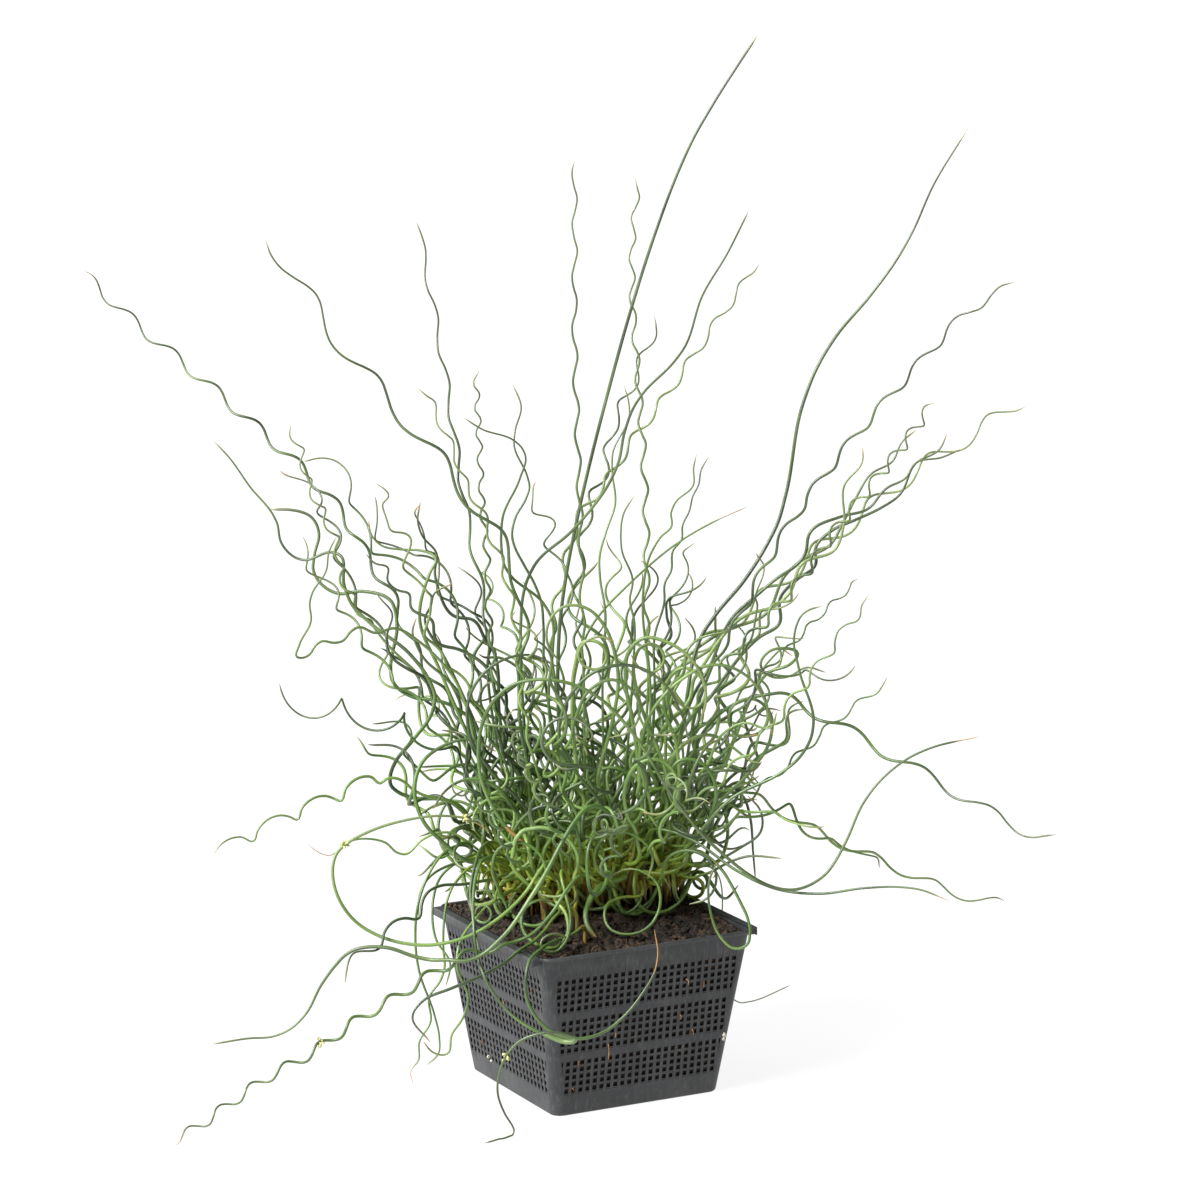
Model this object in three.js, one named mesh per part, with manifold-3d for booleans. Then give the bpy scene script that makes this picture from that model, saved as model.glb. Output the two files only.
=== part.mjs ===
// Corkscrew rush (a soft rush with coiled culms) growing in a square perforated pond basket.
// Millimetres, +Z up. The origin is the middle of the basket's underside, on the floor, and the
// basket's four walls face along X and Y.

import * as THREE from 'three';
import { mergeVertices } from 'three/addons/utils/BufferGeometryUtils.js';
import Module from 'manifold-3d';

const wasm = await Module();
wasm.setup();

// ---- Driving dimensions ---------------------------------------------------------------------

const BASKET_HEIGHT = 121;
const TOP_HALF = 83; // half the outer width of the walls at the rim
const FOOT_HALF = 66; // half the outer width at the floor
const CORNER_RADIUS = 8;
const WALL = 1.8;
const FLOOR_THICKNESS = 2;

const BEAD_PROUD = 1; // thin rolled edge round all four walls
const BEAD_HEIGHT = 2.6;
const GRIP_WIDTH = 7; // carrying flanges, on the two X walls only
const GRIP_THICKNESS = 1.6;
const GRIP_LIP = 5.6;
const GRIP_HALF_LENGTH = 78;

const BAND_HEIGHTS = [91, 60, 29]; // middle heights of the three perforated bands
const BAND_ROW_PITCH = 11;
const HOLE_PITCH = 18;
const HOLE_SIZE = 6.4;
const HOLE_SIDE_MARGIN = 9;

const SOIL_LEVEL = 117.5; // at the walls
const SOIL_MOUND = 15; // how far the root ball stands above that
const MOUND_CENTRE = [4, 26]; // across, deep
const MOUND_SPREAD = [74, 52];
const SOIL_CELLS = 11;
const SOIL_ROUGHNESS = 0.9;

const FIT_GAP = 0.3; // between pieces that touch

// The clump is laid out as it is seen from its front: across to the right, deep away from the
// eye, and up. The basket stands turned by this angle to that view.
const CLUMP_TURN = THREE.MathUtils.degToRad(-28);

const ROOT_DEPTH = 10; // how far each culm stands in its hole
const ROOT_COLLAR = 3; // straight stretch above the soil
const ROOT_RISE = 13; // the culm still heads upwards here

const CULM_SIDES = 3;
const THREE_SIDED_REACH = 1.3; // corner radius of a three-sided culm of the same strength
const FINE_STEP = 2.5;
const CHORD_ERROR = 0.84;
const CLEARANCE = FIT_GAP + 2 * CHORD_ERROR;
const BODY_TAPER = 0.45; // how much of the way to its tip's thickness the body of a culm gets
const TIP_START = 0.62; // where along a culm it starts to draw out to its tip
const COIL_SHARE = 0.6; // of a coiled culm's length, counted from its tip
const COIL_ONSET = 45; // over which a coil opens to its full radius

const COLLAR_POINT = 1; // of a path's fine points, the last one that stays put
const CELL = 8; // of the grid that finds neighbours
const BEND_ROUNDS = 90;
const BEND_SPREAD = 5; // fine steps on each side that bend along with a pushed point
const BEND_STRENGTH = 1.8;
const OWN_STRETCH = 14; // along a culm, within which it may be close to itself
const CLEAR_ENOUGH = 0.05;

// ---- Culms ----------------------------------------------------------------------------------
// Each culm has the place of its root on the soil, its thickness at the root and at the tip, and
// the points of its mean line from root to tip, all as [across, deep, up]. A coil winds round
// that line: its radius, the length of one turn at the root and at the tip, the part of a turn
// that it starts with at the tip, how far back from the tip it reaches, and its lean, which
// tips each turn along the line and sharpens the wave on one side. A culm's rise is how far it
// heads straight up before it turns into its line.

const culms = [
  {
    name: 'culm_tall_straight',
    root: [-21, 30],
    thick: [3.4, 1.6],
    line: [
      [-25, 8, 321], [-15, 14, 392], [-3, 20, 441], [9, 26, 492], [28, 34, 560],
      [48, 42, 620], [70, 50, 672], [114, 60, 742],
    ],
  },
  {
    name: 'culm_centre_wavy',
    root: [-6, 24],
    thick: [2.2, 0.8],
    coil: { radius: 1.8, pitch: 44, tipPitch: 35, phase: 0.23 },
    line: [
      [-7, -20, 284], [-8, -26, 343], [-9, -32, 401], [-11, -40, 466], [-13, -48, 537],
      [-13, -54, 606], [-13, -60, 668],
    ],
  },
  {
    name: 'culm_centre_right_wavy',
    root: [21, 54],
    thick: [2.2, 0.8],
    coil: { radius: 2.2, pitch: 38, tipPitch: 27, phase: 0.49 },
    line: [
      [38, 14, 276], [37, 20, 333], [37, 28, 389], [35, 36, 445], [31, 42, 501],
      [27, 50, 557], [27, 54, 599], [31, 58, 642],
    ],
  },
  {
    name: 'culm_right_lean',
    root: [-41, 12],
    thick: [2.8, 0.9],
    line: [
      [-50, -28, 286], [-51, -34, 330], [-49, -40, 364], [-41, -46, 386], [-23, -52, 403],
      [-5, -58, 424], [8, -62, 442], [17, -66, 462], [21, -70, 483], [30, -74, 506],
      [45, -78, 523], [60, -82, 541], [68, -86, 563], [74, -88, 581], [90, -92, 609],
      [104, -95, 638],
    ],
  },
  {
    name: 'culm_right_stepped',
    root: [-4, 46],
    thick: [2.6, 0.8],
    coil: { radius: 2.8, pitch: 34, tipPitch: 34, phase: 0.91 },
    line: [
      [-30, 22, 318], [-23, 30, 360], [-10, 45, 404], [8, 58, 425], [27, 72, 453],
      [48, 84, 479], [70, 96, 509], [89, 104, 536], [106, 110, 559], [116, 115, 575],
    ],
  },
  {
    name: 'culm_centre_curled',
    root: [6, 60],
    thick: [2.4, 0.8],
    coil: { radius: 3.7, pitch: 37, tipPitch: 36, phase: 0.58 },
    line: [
      [-11, 40, 314], [-10, 60, 368], [-3, 80, 405], [7, 95, 427], [14, 110, 458],
      [27, 125, 484], [37, 132, 509], [46, 140, 531],
    ],
  },
  {
    name: 'culm_centre_thin',
    root: [9, 33],
    thick: [1.9, 0.7],
    line: [
      [6, -10, 296], [8, -5, 344], [4, 5, 369], [4, 8, 382], [9, 12, 400],
      [15, 18, 418], [13, 22, 435], [13, 26, 451], [18, 30, 462], [25, 35, 480],
      [21, 40, 498],
    ],
  },
  {
    name: 'culm_centre_hooked',
    root: [17, 27],
    thick: [2.0, 0.8],
    line: [
      [27, -30, 301], [28, -40, 346], [25, -44, 362], [27, -46, 373], [23, -50, 387],
      [19, -54, 400], [19, -58, 414], [21, -60, 426], [28, -62, 438],
    ],
  },
  {
    name: 'culm_right_zigzag',
    root: [27, 47],
    thick: [2.2, 0.8],
    line: [
      [40, 0, 280], [34, -10, 354], [37, -14, 372], [40, -18, 389], [46, -20, 400],
      [54, -24, 409], [54, -26, 421], [60, -28, 431], [69, -32, 440], [69, -34, 452],
      [71, -36, 462],
    ],
  },
  {
    name: 'culm_right_zigzag_back',
    root: [35, 53],
    thick: [2.0, 0.7],
    line: [
      [43, 20, 275], [43, 30, 320], [50, 36, 344], [50, 38, 355], [55, 42, 365],
      [56, 45, 378], [62, 48, 385], [63, 50, 396], [68, 54, 406], [70, 56, 415],
      [75, 60, 425], [76, 62, 433], [82, 66, 443],
    ],
  },
  {
    name: 'culm_tan_tip',
    root: [8, 72],
    thick: [2.0, 0.9],
    line: [
      [-14, 40, 270], [-7, 50, 312], [11, 60, 337], [37, 75, 357], [69, 95, 380],
      [111, 120, 396],
    ],
  },
  {
    name: 'culm_right_tall_arc',
    root: [38, 44],
    thick: [3.8, 0.9],
    line: [
      [61, 5, 249], [75, 20, 319], [107, 32, 360], [131, 42, 401], [141, 52, 446],
      [150, 60, 488], [167, 68, 522], [197, 76, 558], [221, 82, 592], [240, 88, 633],
      [265, 94, 674],
    ],
  },
  {
    name: 'culm_right_far_wavy',
    root: [57, 25],
    thick: [2.6, 0.8],
    coil: { radius: 2.8, pitch: 40, tipPitch: 39, phase: 0.22 },
    line: [
      [74, -20, 284], [103, -35, 350], [125, -48, 398], [152, -60, 443], [175, -70, 476],
      [199, -80, 507], [224, -90, 538], [248, -100, 567], [282, -110, 592],
    ],
  },
  {
    name: 'culm_right_far_stepped',
    root: [54, 40],
    thick: [2.6, 0.8],
    coil: { radius: 5.5, pitch: 53, tipPitch: 53, phase: 0.96 },
    line: [
      [55, 20, 275], [79, 30, 313], [118, 45, 342], [151, 58, 369], [190, 75, 398],
      [230, 90, 427], [274, 105, 453], [308, 115, 475],
    ],
  },
  {
    name: 'culm_right_tight_coil',
    root: [43, 25],
    thick: [2.4, 0.8],
    coil: { radius: 3.6, pitch: 36, tipPitch: 20, phase: 0.2 },
    line: [
      [67, -30, 272], [91, -45, 315], [118, -58, 348], [142, -70, 380], [168, -85, 422],
      [188, -95, 450], [207, -105, 477], [228, -115, 510],
    ],
  },
  {
    name: 'culm_right_mid_thin',
    root: [43, 58],
    thick: [1.8, 0.7],
    coil: { radius: 2, pitch: 24, tipPitch: 23, phase: 0.3 },
    line: [
      [76, 42, 241], [108, 55, 274], [135, 70, 297], [156, 80, 317], [174, 88, 333],
      [191, 95, 347],
    ],
  },
  {
    name: 'culm_right_mid_coil',
    root: [41, 35],
    thick: [2.2, 0.7],
    coil: { radius: 3.3, pitch: 34, tipPitch: 33, phase: 0.4 },
    line: [
      [74, -30, 214], [99, -40, 242], [123, -50, 271], [143, -62, 301], [163, -75, 332],
      [177, -85, 355], [190, -92, 372],
    ],
  },
  {
    name: 'culm_right_low_wavy',
    root: [50, 30],
    thick: [3.2, 0.8],
    coil: { radius: 4, pitch: 56, tipPitch: 56, phase: 0.59, reach: 200 },
    line: [
      [78, -10, 260], [106, -18, 284], [134, -25, 287], [169, -32, 270], [217, -45, 245],
      [266, -58, 219], [293, -64, 204], [321, -70, 197],
    ],
  },
  {
    name: 'culm_right_small_coil',
    root: [40, 68],
    thick: [1.8, 0.7],
    coil: { radius: 2.5, pitch: 30, tipPitch: 30, phase: 0.5 },
    line: [
      [76, 30, 170], [105, 38, 194], [130, 44, 214], [152, 52, 232], [173, 60, 250],
      [193, 66, 264], [213, 72, 279],
    ],
  },
  {
    name: 'culm_right_loop',
    root: [46, 16],
    thick: [2.8, 1.2],
    line: [
      [67, -38, 184], [95, -40, 217], [123, -42, 232], [144, -44, 249], [153, -46, 270],
      [148, -48, 291], [141, -50, 320], [139, -50, 337], [145, -48, 352], [158, -46, 357],
    ],
  },
  {
    name: 'culm_front_crossing',
    root: [-43, 2],
    thick: [3.2, 1.2],
    line: [
      [-47, -46, 184], [-62, -54, 202], [-76, -62, 230], [-80, -68, 256], [-75, -72, 285],
      [-59, -76, 306], [-34, -78, 312], [-3, -80, 304], [21, -84, 283], [42, -88, 252],
      [66, -92, 216], [91, -92, 190], [119, -88, 169], [140, -84, 164], [160, -80, 173],
      [174, -76, 194], [186, -72, 221], [202, -68, 241], [226, -64, 257], [268, -58, 267],
    ],
  },
  {
    name: 'culm_right_low_sweep',
    root: [34, 28],
    thick: [2.4, 0.9],
    line: [
      [43, -30, 193], [67, -44, 190], [95, -60, 174], [126, -74, 162], [157, -84, 161],
      [191, -94, 168], [222, -100, 169], [245, -106, 162],
    ],
  },
  {
    name: 'culm_right_low_coil',
    root: [46, 42],
    thick: [2.4, 0.7],
    coil: { radius: 3.5, pitch: 51, tipPitch: 51, phase: 0.31 },
    line: [
      [76, 30, 199], [105, 40, 202], [130, 48, 189], [159, 56, 170], [193, 64, 152],
      [226, 72, 135], [263, 80, 117], [301, 88, 106],
    ],
  },
  {
    name: 'culm_right_hanging_loop',
    root: [62, 32],
    thick: [2.6, 1.4],
    line: [
      [75, -34, 178], [90, -48, 168], [100, -56, 152], [108, -60, 135], [108, -62, 119],
      [99, -62, 115], [88, -60, 124], [81, -58, 144], [81, -54, 163], [87, -50, 175],
    ],
  },
  {
    name: 'culm_back_trailing',
    root: [49, 51],
    thick: [2.2, 0.8],
    line: [
      [70, 80, 149], [92, 112, 119], [94, 122, 89], [90, 116, 56], [104, 100, 29],
      [127, 80, 40], [143, 66, 51],
    ],
  },
  {
    name: 'culm_left_scalloped',
    root: [-55, 29],
    thick: [2.8, 0.8],
    coil: { radius: 4.6, pitch: 35, tipPitch: 34, phase: 0.76, lean: 0.95, reach: 118 },
    line: [
      [-84, -12, 188], [-97, -18, 207], [-119, -28, 217], [-147, -40, 233], [-179, -55, 224],
      [-209, -70, 214], [-236, -82, 203], [-259, -92, 193],
    ],
  },
  {
    name: 'culm_left_thick',
    root: [-54, 38],
    thick: [3.8, 0.7],
    line: [
      [-85, 26, 178], [-99, 18, 200], [-131, 8, 207], [-144, 4, 216], [-142, 0, 232],
      [-127, -4, 253], [-112, -6, 281], [-126, -2, 309], [-147, 4, 325], [-172, 14, 347],
      [-179, 22, 369], [-181, 26, 380], [-194, 30, 377], [-209, 34, 374], [-221, 38, 383],
      [-226, 42, 401], [-233, 46, 410], [-247, 52, 426], [-260, 56, 444], [-271, 60, 455],
    ],
  },
  {
    name: 'culm_left_blunt_arc',
    root: [-44, 44],
    thick: [3.4, 2.2],
    line: [
      [-75, 34, 213], [-85, 32, 254], [-106, 32, 270], [-131, 36, 274], [-144, 40, 284],
      [-145, 44, 299], [-141, 50, 323], [-146, 56, 340], [-164, 62, 345], [-187, 68, 343],
      [-201, 74, 355], [-201, 78, 369], [-198, 82, 385], [-204, 86, 395], [-215, 88, 399],
      [-233, 92, 399],
    ],
  },
  {
    name: 'culm_left_far_wavy',
    root: [-35, 33],
    thick: [2.8, 0.8],
    coil: { radius: 3.6, pitch: 40, tipPitch: 40, phase: 0.86, reach: 400 },
    line: [
      [-67, 20, 202], [-89, 35, 246], [-110, 50, 275], [-132, 62, 309], [-147, 74, 342],
      [-165, 82, 369], [-179, 90, 393], [-206, 98, 423], [-248, 106, 461], [-291, 112, 498],
      [-334, 118, 534], [-368, 124, 566],
    ],
  },
  {
    name: 'culm_left_mid_thin',
    root: [-52, 49],
    thick: [2.2, 0.7],
    coil: { radius: 3, pitch: 28, tipPitch: 24, phase: 0.2, reach: 150 },
    line: [
      [-82, 45, 210], [-110, 40, 270], [-142, 30, 309], [-166, 20, 340], [-178, 10, 368],
      [-180, 0, 391], [-190, -10, 417], [-199, -16, 439], [-203, -22, 459], [-210, -28, 480],
    ],
  },
  {
    name: 'culm_left_long_wave',
    root: [-27, 6],
    thick: [3.0, 0.8],
    coil: { radius: 5.3, pitch: 72, tipPitch: 72, phase: 0.32 },
    line: [
      [-52, -30, 272], [-51, -40, 332], [-53, -50, 380], [-67, -58, 409], [-82, -64, 432],
      [-105, -72, 464], [-125, -78, 490], [-148, -84, 518], [-170, -90, 546], [-189, -95, 575],
      [-207, -100, 604], [-218, -103, 620],
    ],
  },
  {
    name: 'culm_left_high_wavy',
    root: [-40, 25],
    thick: [2.4, 0.8],
    coil: { radius: 2.2, pitch: 49, tipPitch: 48, phase: 0.6 },
    line: [
      [-68, 10, 241], [-76, 20, 304], [-77, 30, 338], [-84, 40, 369], [-90, 48, 400],
      [-98, 60, 448], [-105, 72, 493], [-115, 85, 549], [-123, 95, 590], [-125, 100, 606],
    ],
  },
  {
    name: 'culm_left_stepped',
    root: [-23, -4],
    thick: [2.2, 0.7],
    coil: { radius: 2.6, pitch: 31, tipPitch: 30, phase: 0.49 },
    line: [
      [-48, -45, 276], [-55, -55, 356], [-63, -58, 388], [-74, -62, 417], [-86, -66, 442],
      [-100, -72, 480], [-112, -76, 507], [-118, -78, 517],
    ],
  },
  {
    name: 'culm_left_fine_wave',
    root: [-32, 15],
    thick: [2.2, 0.7],
    coil: { radius: 2.1, pitch: 32, tipPitch: 17, phase: 0 },
    line: [
      [-63, -15, 240], [-71, -25, 321], [-74, -30, 358], [-74, -34, 387], [-77, -38, 423],
      [-79, -42, 473], [-81, -46, 522],
    ],
  },
  {
    name: 'culm_left_s_bend',
    root: [-16, 22],
    thick: [2.6, 0.7],
    line: [
      [-32, -10, 282], [-29, -15, 319], [-31, -20, 347], [-48, -26, 366], [-61, -32, 380],
      [-64, -38, 399], [-63, -44, 419], [-56, -50, 436], [-50, -56, 451], [-47, -60, 466],
      [-54, -64, 476], [-68, -68, 482], [-79, -72, 487], [-88, -76, 494],
    ],
  },
  {
    name: 'culm_centre_s_bend',
    root: [-10, 53],
    thick: [2.4, 0.7],
    line: [
      [-35, 24, 289], [-38, 32, 345], [-51, 36, 372], [-58, 40, 387], [-56, 44, 402],
      [-49, 48, 414], [-46, 52, 424], [-51, 56, 438], [-57, 60, 452], [-56, 64, 463],
      [-52, 68, 477], [-58, 74, 493],
    ],
  },
  {
    name: 'culm_left_kinked',
    root: [-54, 19],
    thick: [2.4, 0.7],
    line: [
      [-80, -24, 242], [-97, -32, 301], [-126, -45, 335], [-138, -50, 342], [-152, -56, 340],
      [-164, -62, 345], [-175, -68, 336], [-189, -72, 337], [-197, -76, 328], [-204, -80, 328],
      [-200, -84, 343], [-194, -86, 354], [-194, -90, 370], [-190, -92, 380], [-182, -96, 393],
      [-181, -98, 403], [-174, -102, 418],
    ],
  },
  {
    name: 'culm_left_big_coil',
    root: [-63, 35],
    thick: [2.4, 0.8],
    coil: { radius: 11, pitch: 46, tipPitch: 46, phase: 0.13, lean: -0.6, reach: 110 },
    line: [
      [-84, 0, 207], [-98, -10, 244], [-115, -20, 259], [-134, -30, 269], [-161, -38, 278],
      [-192, -46, 286], [-215, -52, 293],
    ],
  },
  {
    name: 'culm_left_low_loop',
    root: [-19, -13],
    thick: [3.2, 1.6],
    line: [
      [-32, -54, 176], [-48, -72, 158], [-67, -86, 143], [-86, -92, 133], [-114, -95, 127],
      [-145, -95, 132], [-168, -92, 146], [-180, -88, 168], [-179, -84, 188], [-168, -80, 198],
      [-140, -76, 209], [-114, -72, 213], [-92, -66, 211], [-73, -60, 200],
    ],
  },
  {
    name: 'culm_left_low_wave',
    root: [-64, 19],
    thick: [2.0, 0.7],
    line: [
      [-80, -34, 178], [-102, -42, 194], [-118, -46, 191], [-134, -50, 180], [-146, -55, 190],
      [-162, -60, 194], [-175, -64, 191], [-185, -68, 184], [-199, -72, 193],
    ],
  },
  {
    name: 'culm_left_hanging',
    root: [-70, 29],
    thick: [2.2, 0.8],
    line: [
      [-93, -28, 181], [-105, -40, 179], [-116, -50, 165], [-123, -58, 146], [-125, -62, 125],
      [-123, -62, 101], [-115, -60, 76], [-109, -58, 51], [-110, -57, 36], [-118, -56, 28],
    ],
  },
  {
    name: 'culm_left_hanging_hook',
    root: [-71, 41],
    thick: [1.9, 0.7],
    line: [
      [-88, 5, 156], [-101, -5, 144], [-106, -14, 126], [-107, -20, 106], [-107, -23, 85],
      [-117, -26, 69], [-116, -30, 52], [-124, -34, 38], [-124, -36, 27], [-130, -40, 18],
      [-128, -42, 9],
    ],
  },
  {
    name: 'culm_front_left_trail',
    root: [8, -1],
    thick: [3.2, 0.8],
    coil: { radius: 3.4, pitch: 36, tipPitch: 25, phase: 0.46, reach: 250 },
    line: [
      [-13, -72, 168], [-34, -92, 143], [-55, -101, 130], [-79, -108, 127], [-105, -114, 116],
      [-134, -122, 99], [-164, -132, 83], [-193, -142, 64], [-221, -150, 50], [-245, -157, 35],
      [-267, -163, 20], [-288, -168, 8],
    ],
  },
  {
    name: 'culm_front_thick_trail',
    root: [14, 15],
    thick: [4.4, 0.9],
    line: [
      [18, -48, 194], [8, -62, 215], [-4, -74, 220], [-17, -86, 207], [-30, -98, 185],
      [-47, -108, 159], [-66, -114, 135], [-89, -116, 122], [-117, -112, 122], [-144, -108, 129],
      [-167, -106, 126], [-186, -104, 105], [-202, -104, 77], [-218, -104, 65], [-239, -106, 63],
      [-264, -110, 60],
    ],
  },
  {
    name: 'culm_front_ring',
    root: [-6, -54],
    rise: 6,
    thick: [3.2, 1.4],
    line: [
      [-13, -64, 127], [-28, -86, 127], [-39, -112, 125], [-46, -124, 114], [-46, -127, 99],
      [-39, -128, 84], [-28, -128, 74], [-13, -126, 69], [4, -122, 71], [21, -116, 82],
      [35, -110, 99], [44, -105, 118], [42, -101, 140],
    ],
  },
  {
    name: 'culm_front_trailing',
    root: [-50, 10],
    thick: [2.8, 0.8],
    line: [
      [-78, -62, 179], [-83, -84, 164], [-83, -102, 144], [-79, -116, 121], [-67, -125, 98],
      [-51, -131, 83], [-32, -135, 74], [-16, -138, 70], [-12, -143, 74], [-18, -148, 79],
      [-31, -149, 80], [-45, -148, 77], [-57, -146, 67], [-64, -144, 52], [-66, -140, 35],
      [-61, -134, 17], [-55, -129, 3], [-65, -142, 2], [-75, -158, 4],
    ],
  },
  {
    name: 'culm_soil_ring',
    root: [33, 6],
    thick: [2.6, 1.2],
    line: [
      [33, -20, 142], [20, -28, 143], [9, -38, 140], [8, -46, 131], [13, -51, 125],
      [25, -54, 123], [38, -53, 128], [46, -48, 141], [45, -44, 156], [36, -40, 164],
      [24, -36, 166], [13, -32, 160],
    ],
  },
  {
    name: 'culm_front_reach_left',
    root: [-13, -6],
    thick: [2.8, 0.8],
    coil: { radius: 3.2, pitch: 38, tipPitch: 34, phase: 0.1 },
    line: [[-20, -82, 190], [-38, -140, 250], [-48, -205, 290], [-54, -262, 330]],
  },
  {
    name: 'culm_front_reach_right',
    root: [24, 20],
    thick: [2.8, 0.8],
    coil: { radius: 4.2, pitch: 46, tipPitch: 40, phase: 0.4 },
    line: [[44, -75, 195], [60, -130, 245], [52, -190, 268], [74, -240, 262]],
  },
  {
    name: 'culm_front_reach_middle',
    root: [6, 8],
    thick: [2.6, 0.8],
    coil: { radius: 5.5, pitch: 50, tipPitch: 44, phase: 0.7, lean: 0.5 },
    line: [[10, -90, 180], [18, -150, 225], [4, -205, 240], [20, -240, 262]],
  },
  {
    name: 'culm_front_reach_side',
    root: [-34, -1],
    thick: [2.6, 0.8],
    coil: { radius: 3, pitch: 32, tipPitch: 26, phase: 0.2 },
    line: [[-56, -92, 190], [-72, -150, 238], [-92, -210, 268]],
  },
  {
    name: 'culm_back_reach_left',
    root: [-20, 63],
    thick: [2.8, 0.8],
    coil: { radius: 3.4, pitch: 40, tipPitch: 36, phase: 0.3 },
    line: [[-35, 90, 225], [-58, 150, 285], [-76, 200, 310], [-84, 245, 326]],
  },
  {
    name: 'culm_back_reach_right',
    root: [17, 85],
    thick: [2.8, 0.8],
    coil: { radius: 5, pitch: 56, tipPitch: 50, phase: 0.6 },
    line: [[38, 95, 215], [56, 150, 268], [60, 205, 298], [72, 252, 316]],
  },
  {
    name: 'culm_back_reach_middle',
    root: [2, 81],
    thick: [2.6, 0.8],
    coil: { radius: 6, pitch: 50, tipPitch: 46, phase: 0.9, lean: 0.6 },
    line: [[4, 100, 185], [-10, 160, 232], [8, 215, 262], [0, 262, 292]],
  },
  {
    name: 'culm_back_reach_far_right',
    root: [36, 75],
    thick: [2.6, 0.8],
    coil: { radius: 3, pitch: 34, tipPitch: 28, phase: 0.5 },
    line: [[76, 100, 180], [100, 160, 213], [112, 210, 224], [134, 248, 212]],
  },
  {
    name: 'culm_back_reach_far_left',
    root: [-45, 55],
    thick: [2.6, 0.8],
    coil: { radius: 4, pitch: 44, tipPitch: 38, phase: 0.8 },
    line: [[-78, 95, 183], [-108, 150, 214], [-124, 205, 232], [-148, 240, 224]],
  },
];

// ---- Solids and their meshes ----------------------------------------------------------------

const rush = new THREE.Group();

function weld(geometry) {
  geometry.deleteAttribute('normal');
  geometry.deleteAttribute('uv');
  return mergeVertices(geometry, 1e-4);
}

function solid(geometry) {
  const welded = weld(geometry);
  const vertProperties = new Float32Array(welded.attributes.position.array);
  const triVerts = new Uint32Array(welded.index.array);
  return new wasm.Manifold(new wasm.Mesh({ numProp: 3, vertProperties, triVerts }));
}

function solidGeometry(body) {
  const mesh = body.getMesh();
  const geometry = new THREE.BufferGeometry();
  geometry.setAttribute('position', new THREE.BufferAttribute(mesh.vertProperties, 3));
  geometry.setIndex(new THREE.BufferAttribute(mesh.triVerts, 1));
  return geometry;
}

function addPiece(name, geometry, color, roughness) {
  const material = new THREE.MeshStandardMaterial({ color, roughness, metalness: 0 });
  const piece = new THREE.Mesh(geometry, material);
  piece.name = name;
  rush.add(piece);
}

function seededRandom(seed) {
  let state = seed;
  return () => {
    state = (state * 1664525 + 1013904223) % 4294967296;
    return state / 4294967296;
  };
}

// ---- Basket ---------------------------------------------------------------------------------

const wallHalf = (height) => THREE.MathUtils.lerp(FOOT_HALF, TOP_HALF, height / BASKET_HEIGHT);

function roundedSquare(half, radius) {
  const square = new THREE.Shape();
  const straight = half - radius;
  square.absarc(straight, straight, radius, 0, Math.PI / 2);
  square.absarc(-straight, straight, radius, Math.PI / 2, Math.PI);
  square.absarc(-straight, -straight, radius, Math.PI, 1.5 * Math.PI);
  square.absarc(straight, -straight, radius, 1.5 * Math.PI, 2 * Math.PI);
  return square;
}

// A rounded square block that widens with the basket's walls and lies `inset` inside them.
function taperedBlock(from, to, inset) {
  const radius = CORNER_RADIUS - Math.min(inset, CORNER_RADIUS / 2);
  const base = wallHalf(from) - inset;
  const outline = roundedSquare(base, radius);
  const block = new THREE.ExtrudeGeometry(outline, {
    depth: to - from,
    bevelEnabled: false,
    curveSegments: 3,
  });
  const place = block.attributes.position;
  for (let i = 0; i < place.count; i += 1) {
    const height = from + place.getZ(i);
    const widening = (wallHalf(height) - inset) / base;
    place.setXYZ(i, place.getX(i) * widening, place.getY(i) * widening, height);
  }
  return block;
}

function beadRing() {
  const outline = roundedSquare(TOP_HALF + BEAD_PROUD, CORNER_RADIUS + BEAD_PROUD);
  outline.holes.push(roundedSquare(TOP_HALF - WALL / 2, CORNER_RADIUS - WALL / 2));
  const ring = new THREE.ExtrudeGeometry(outline, {
    depth: BEAD_HEIGHT,
    bevelEnabled: false,
    curveSegments: 3,
  });
  return ring.translate(0, 0, BASKET_HEIGHT - BEAD_HEIGHT);
}

// The flange's section, from the wall outwards and down to its lip, drawn once and run along Y.
function grip(side) {
  const root = TOP_HALF - WALL / 2;
  const edge = TOP_HALF + GRIP_WIDTH;
  const section = new THREE.Shape();
  section.moveTo(root, BASKET_HEIGHT);
  section.lineTo(root, BASKET_HEIGHT - GRIP_THICKNESS);
  section.lineTo(edge - GRIP_THICKNESS, BASKET_HEIGHT - GRIP_THICKNESS);
  section.lineTo(edge - GRIP_THICKNESS, BASKET_HEIGHT - GRIP_LIP);
  section.lineTo(edge, BASKET_HEIGHT - GRIP_LIP);
  section.lineTo(edge, BASKET_HEIGHT);
  const bar = new THREE.ExtrudeGeometry(section, {
    depth: 2 * GRIP_HALF_LENGTH,
    bevelEnabled: false,
  });
  bar.translate(0, 0, -GRIP_HALF_LENGTH);
  bar.rotateX(Math.PI / 2);
  return side > 0 ? bar : bar.rotateZ(Math.PI);
}

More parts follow.
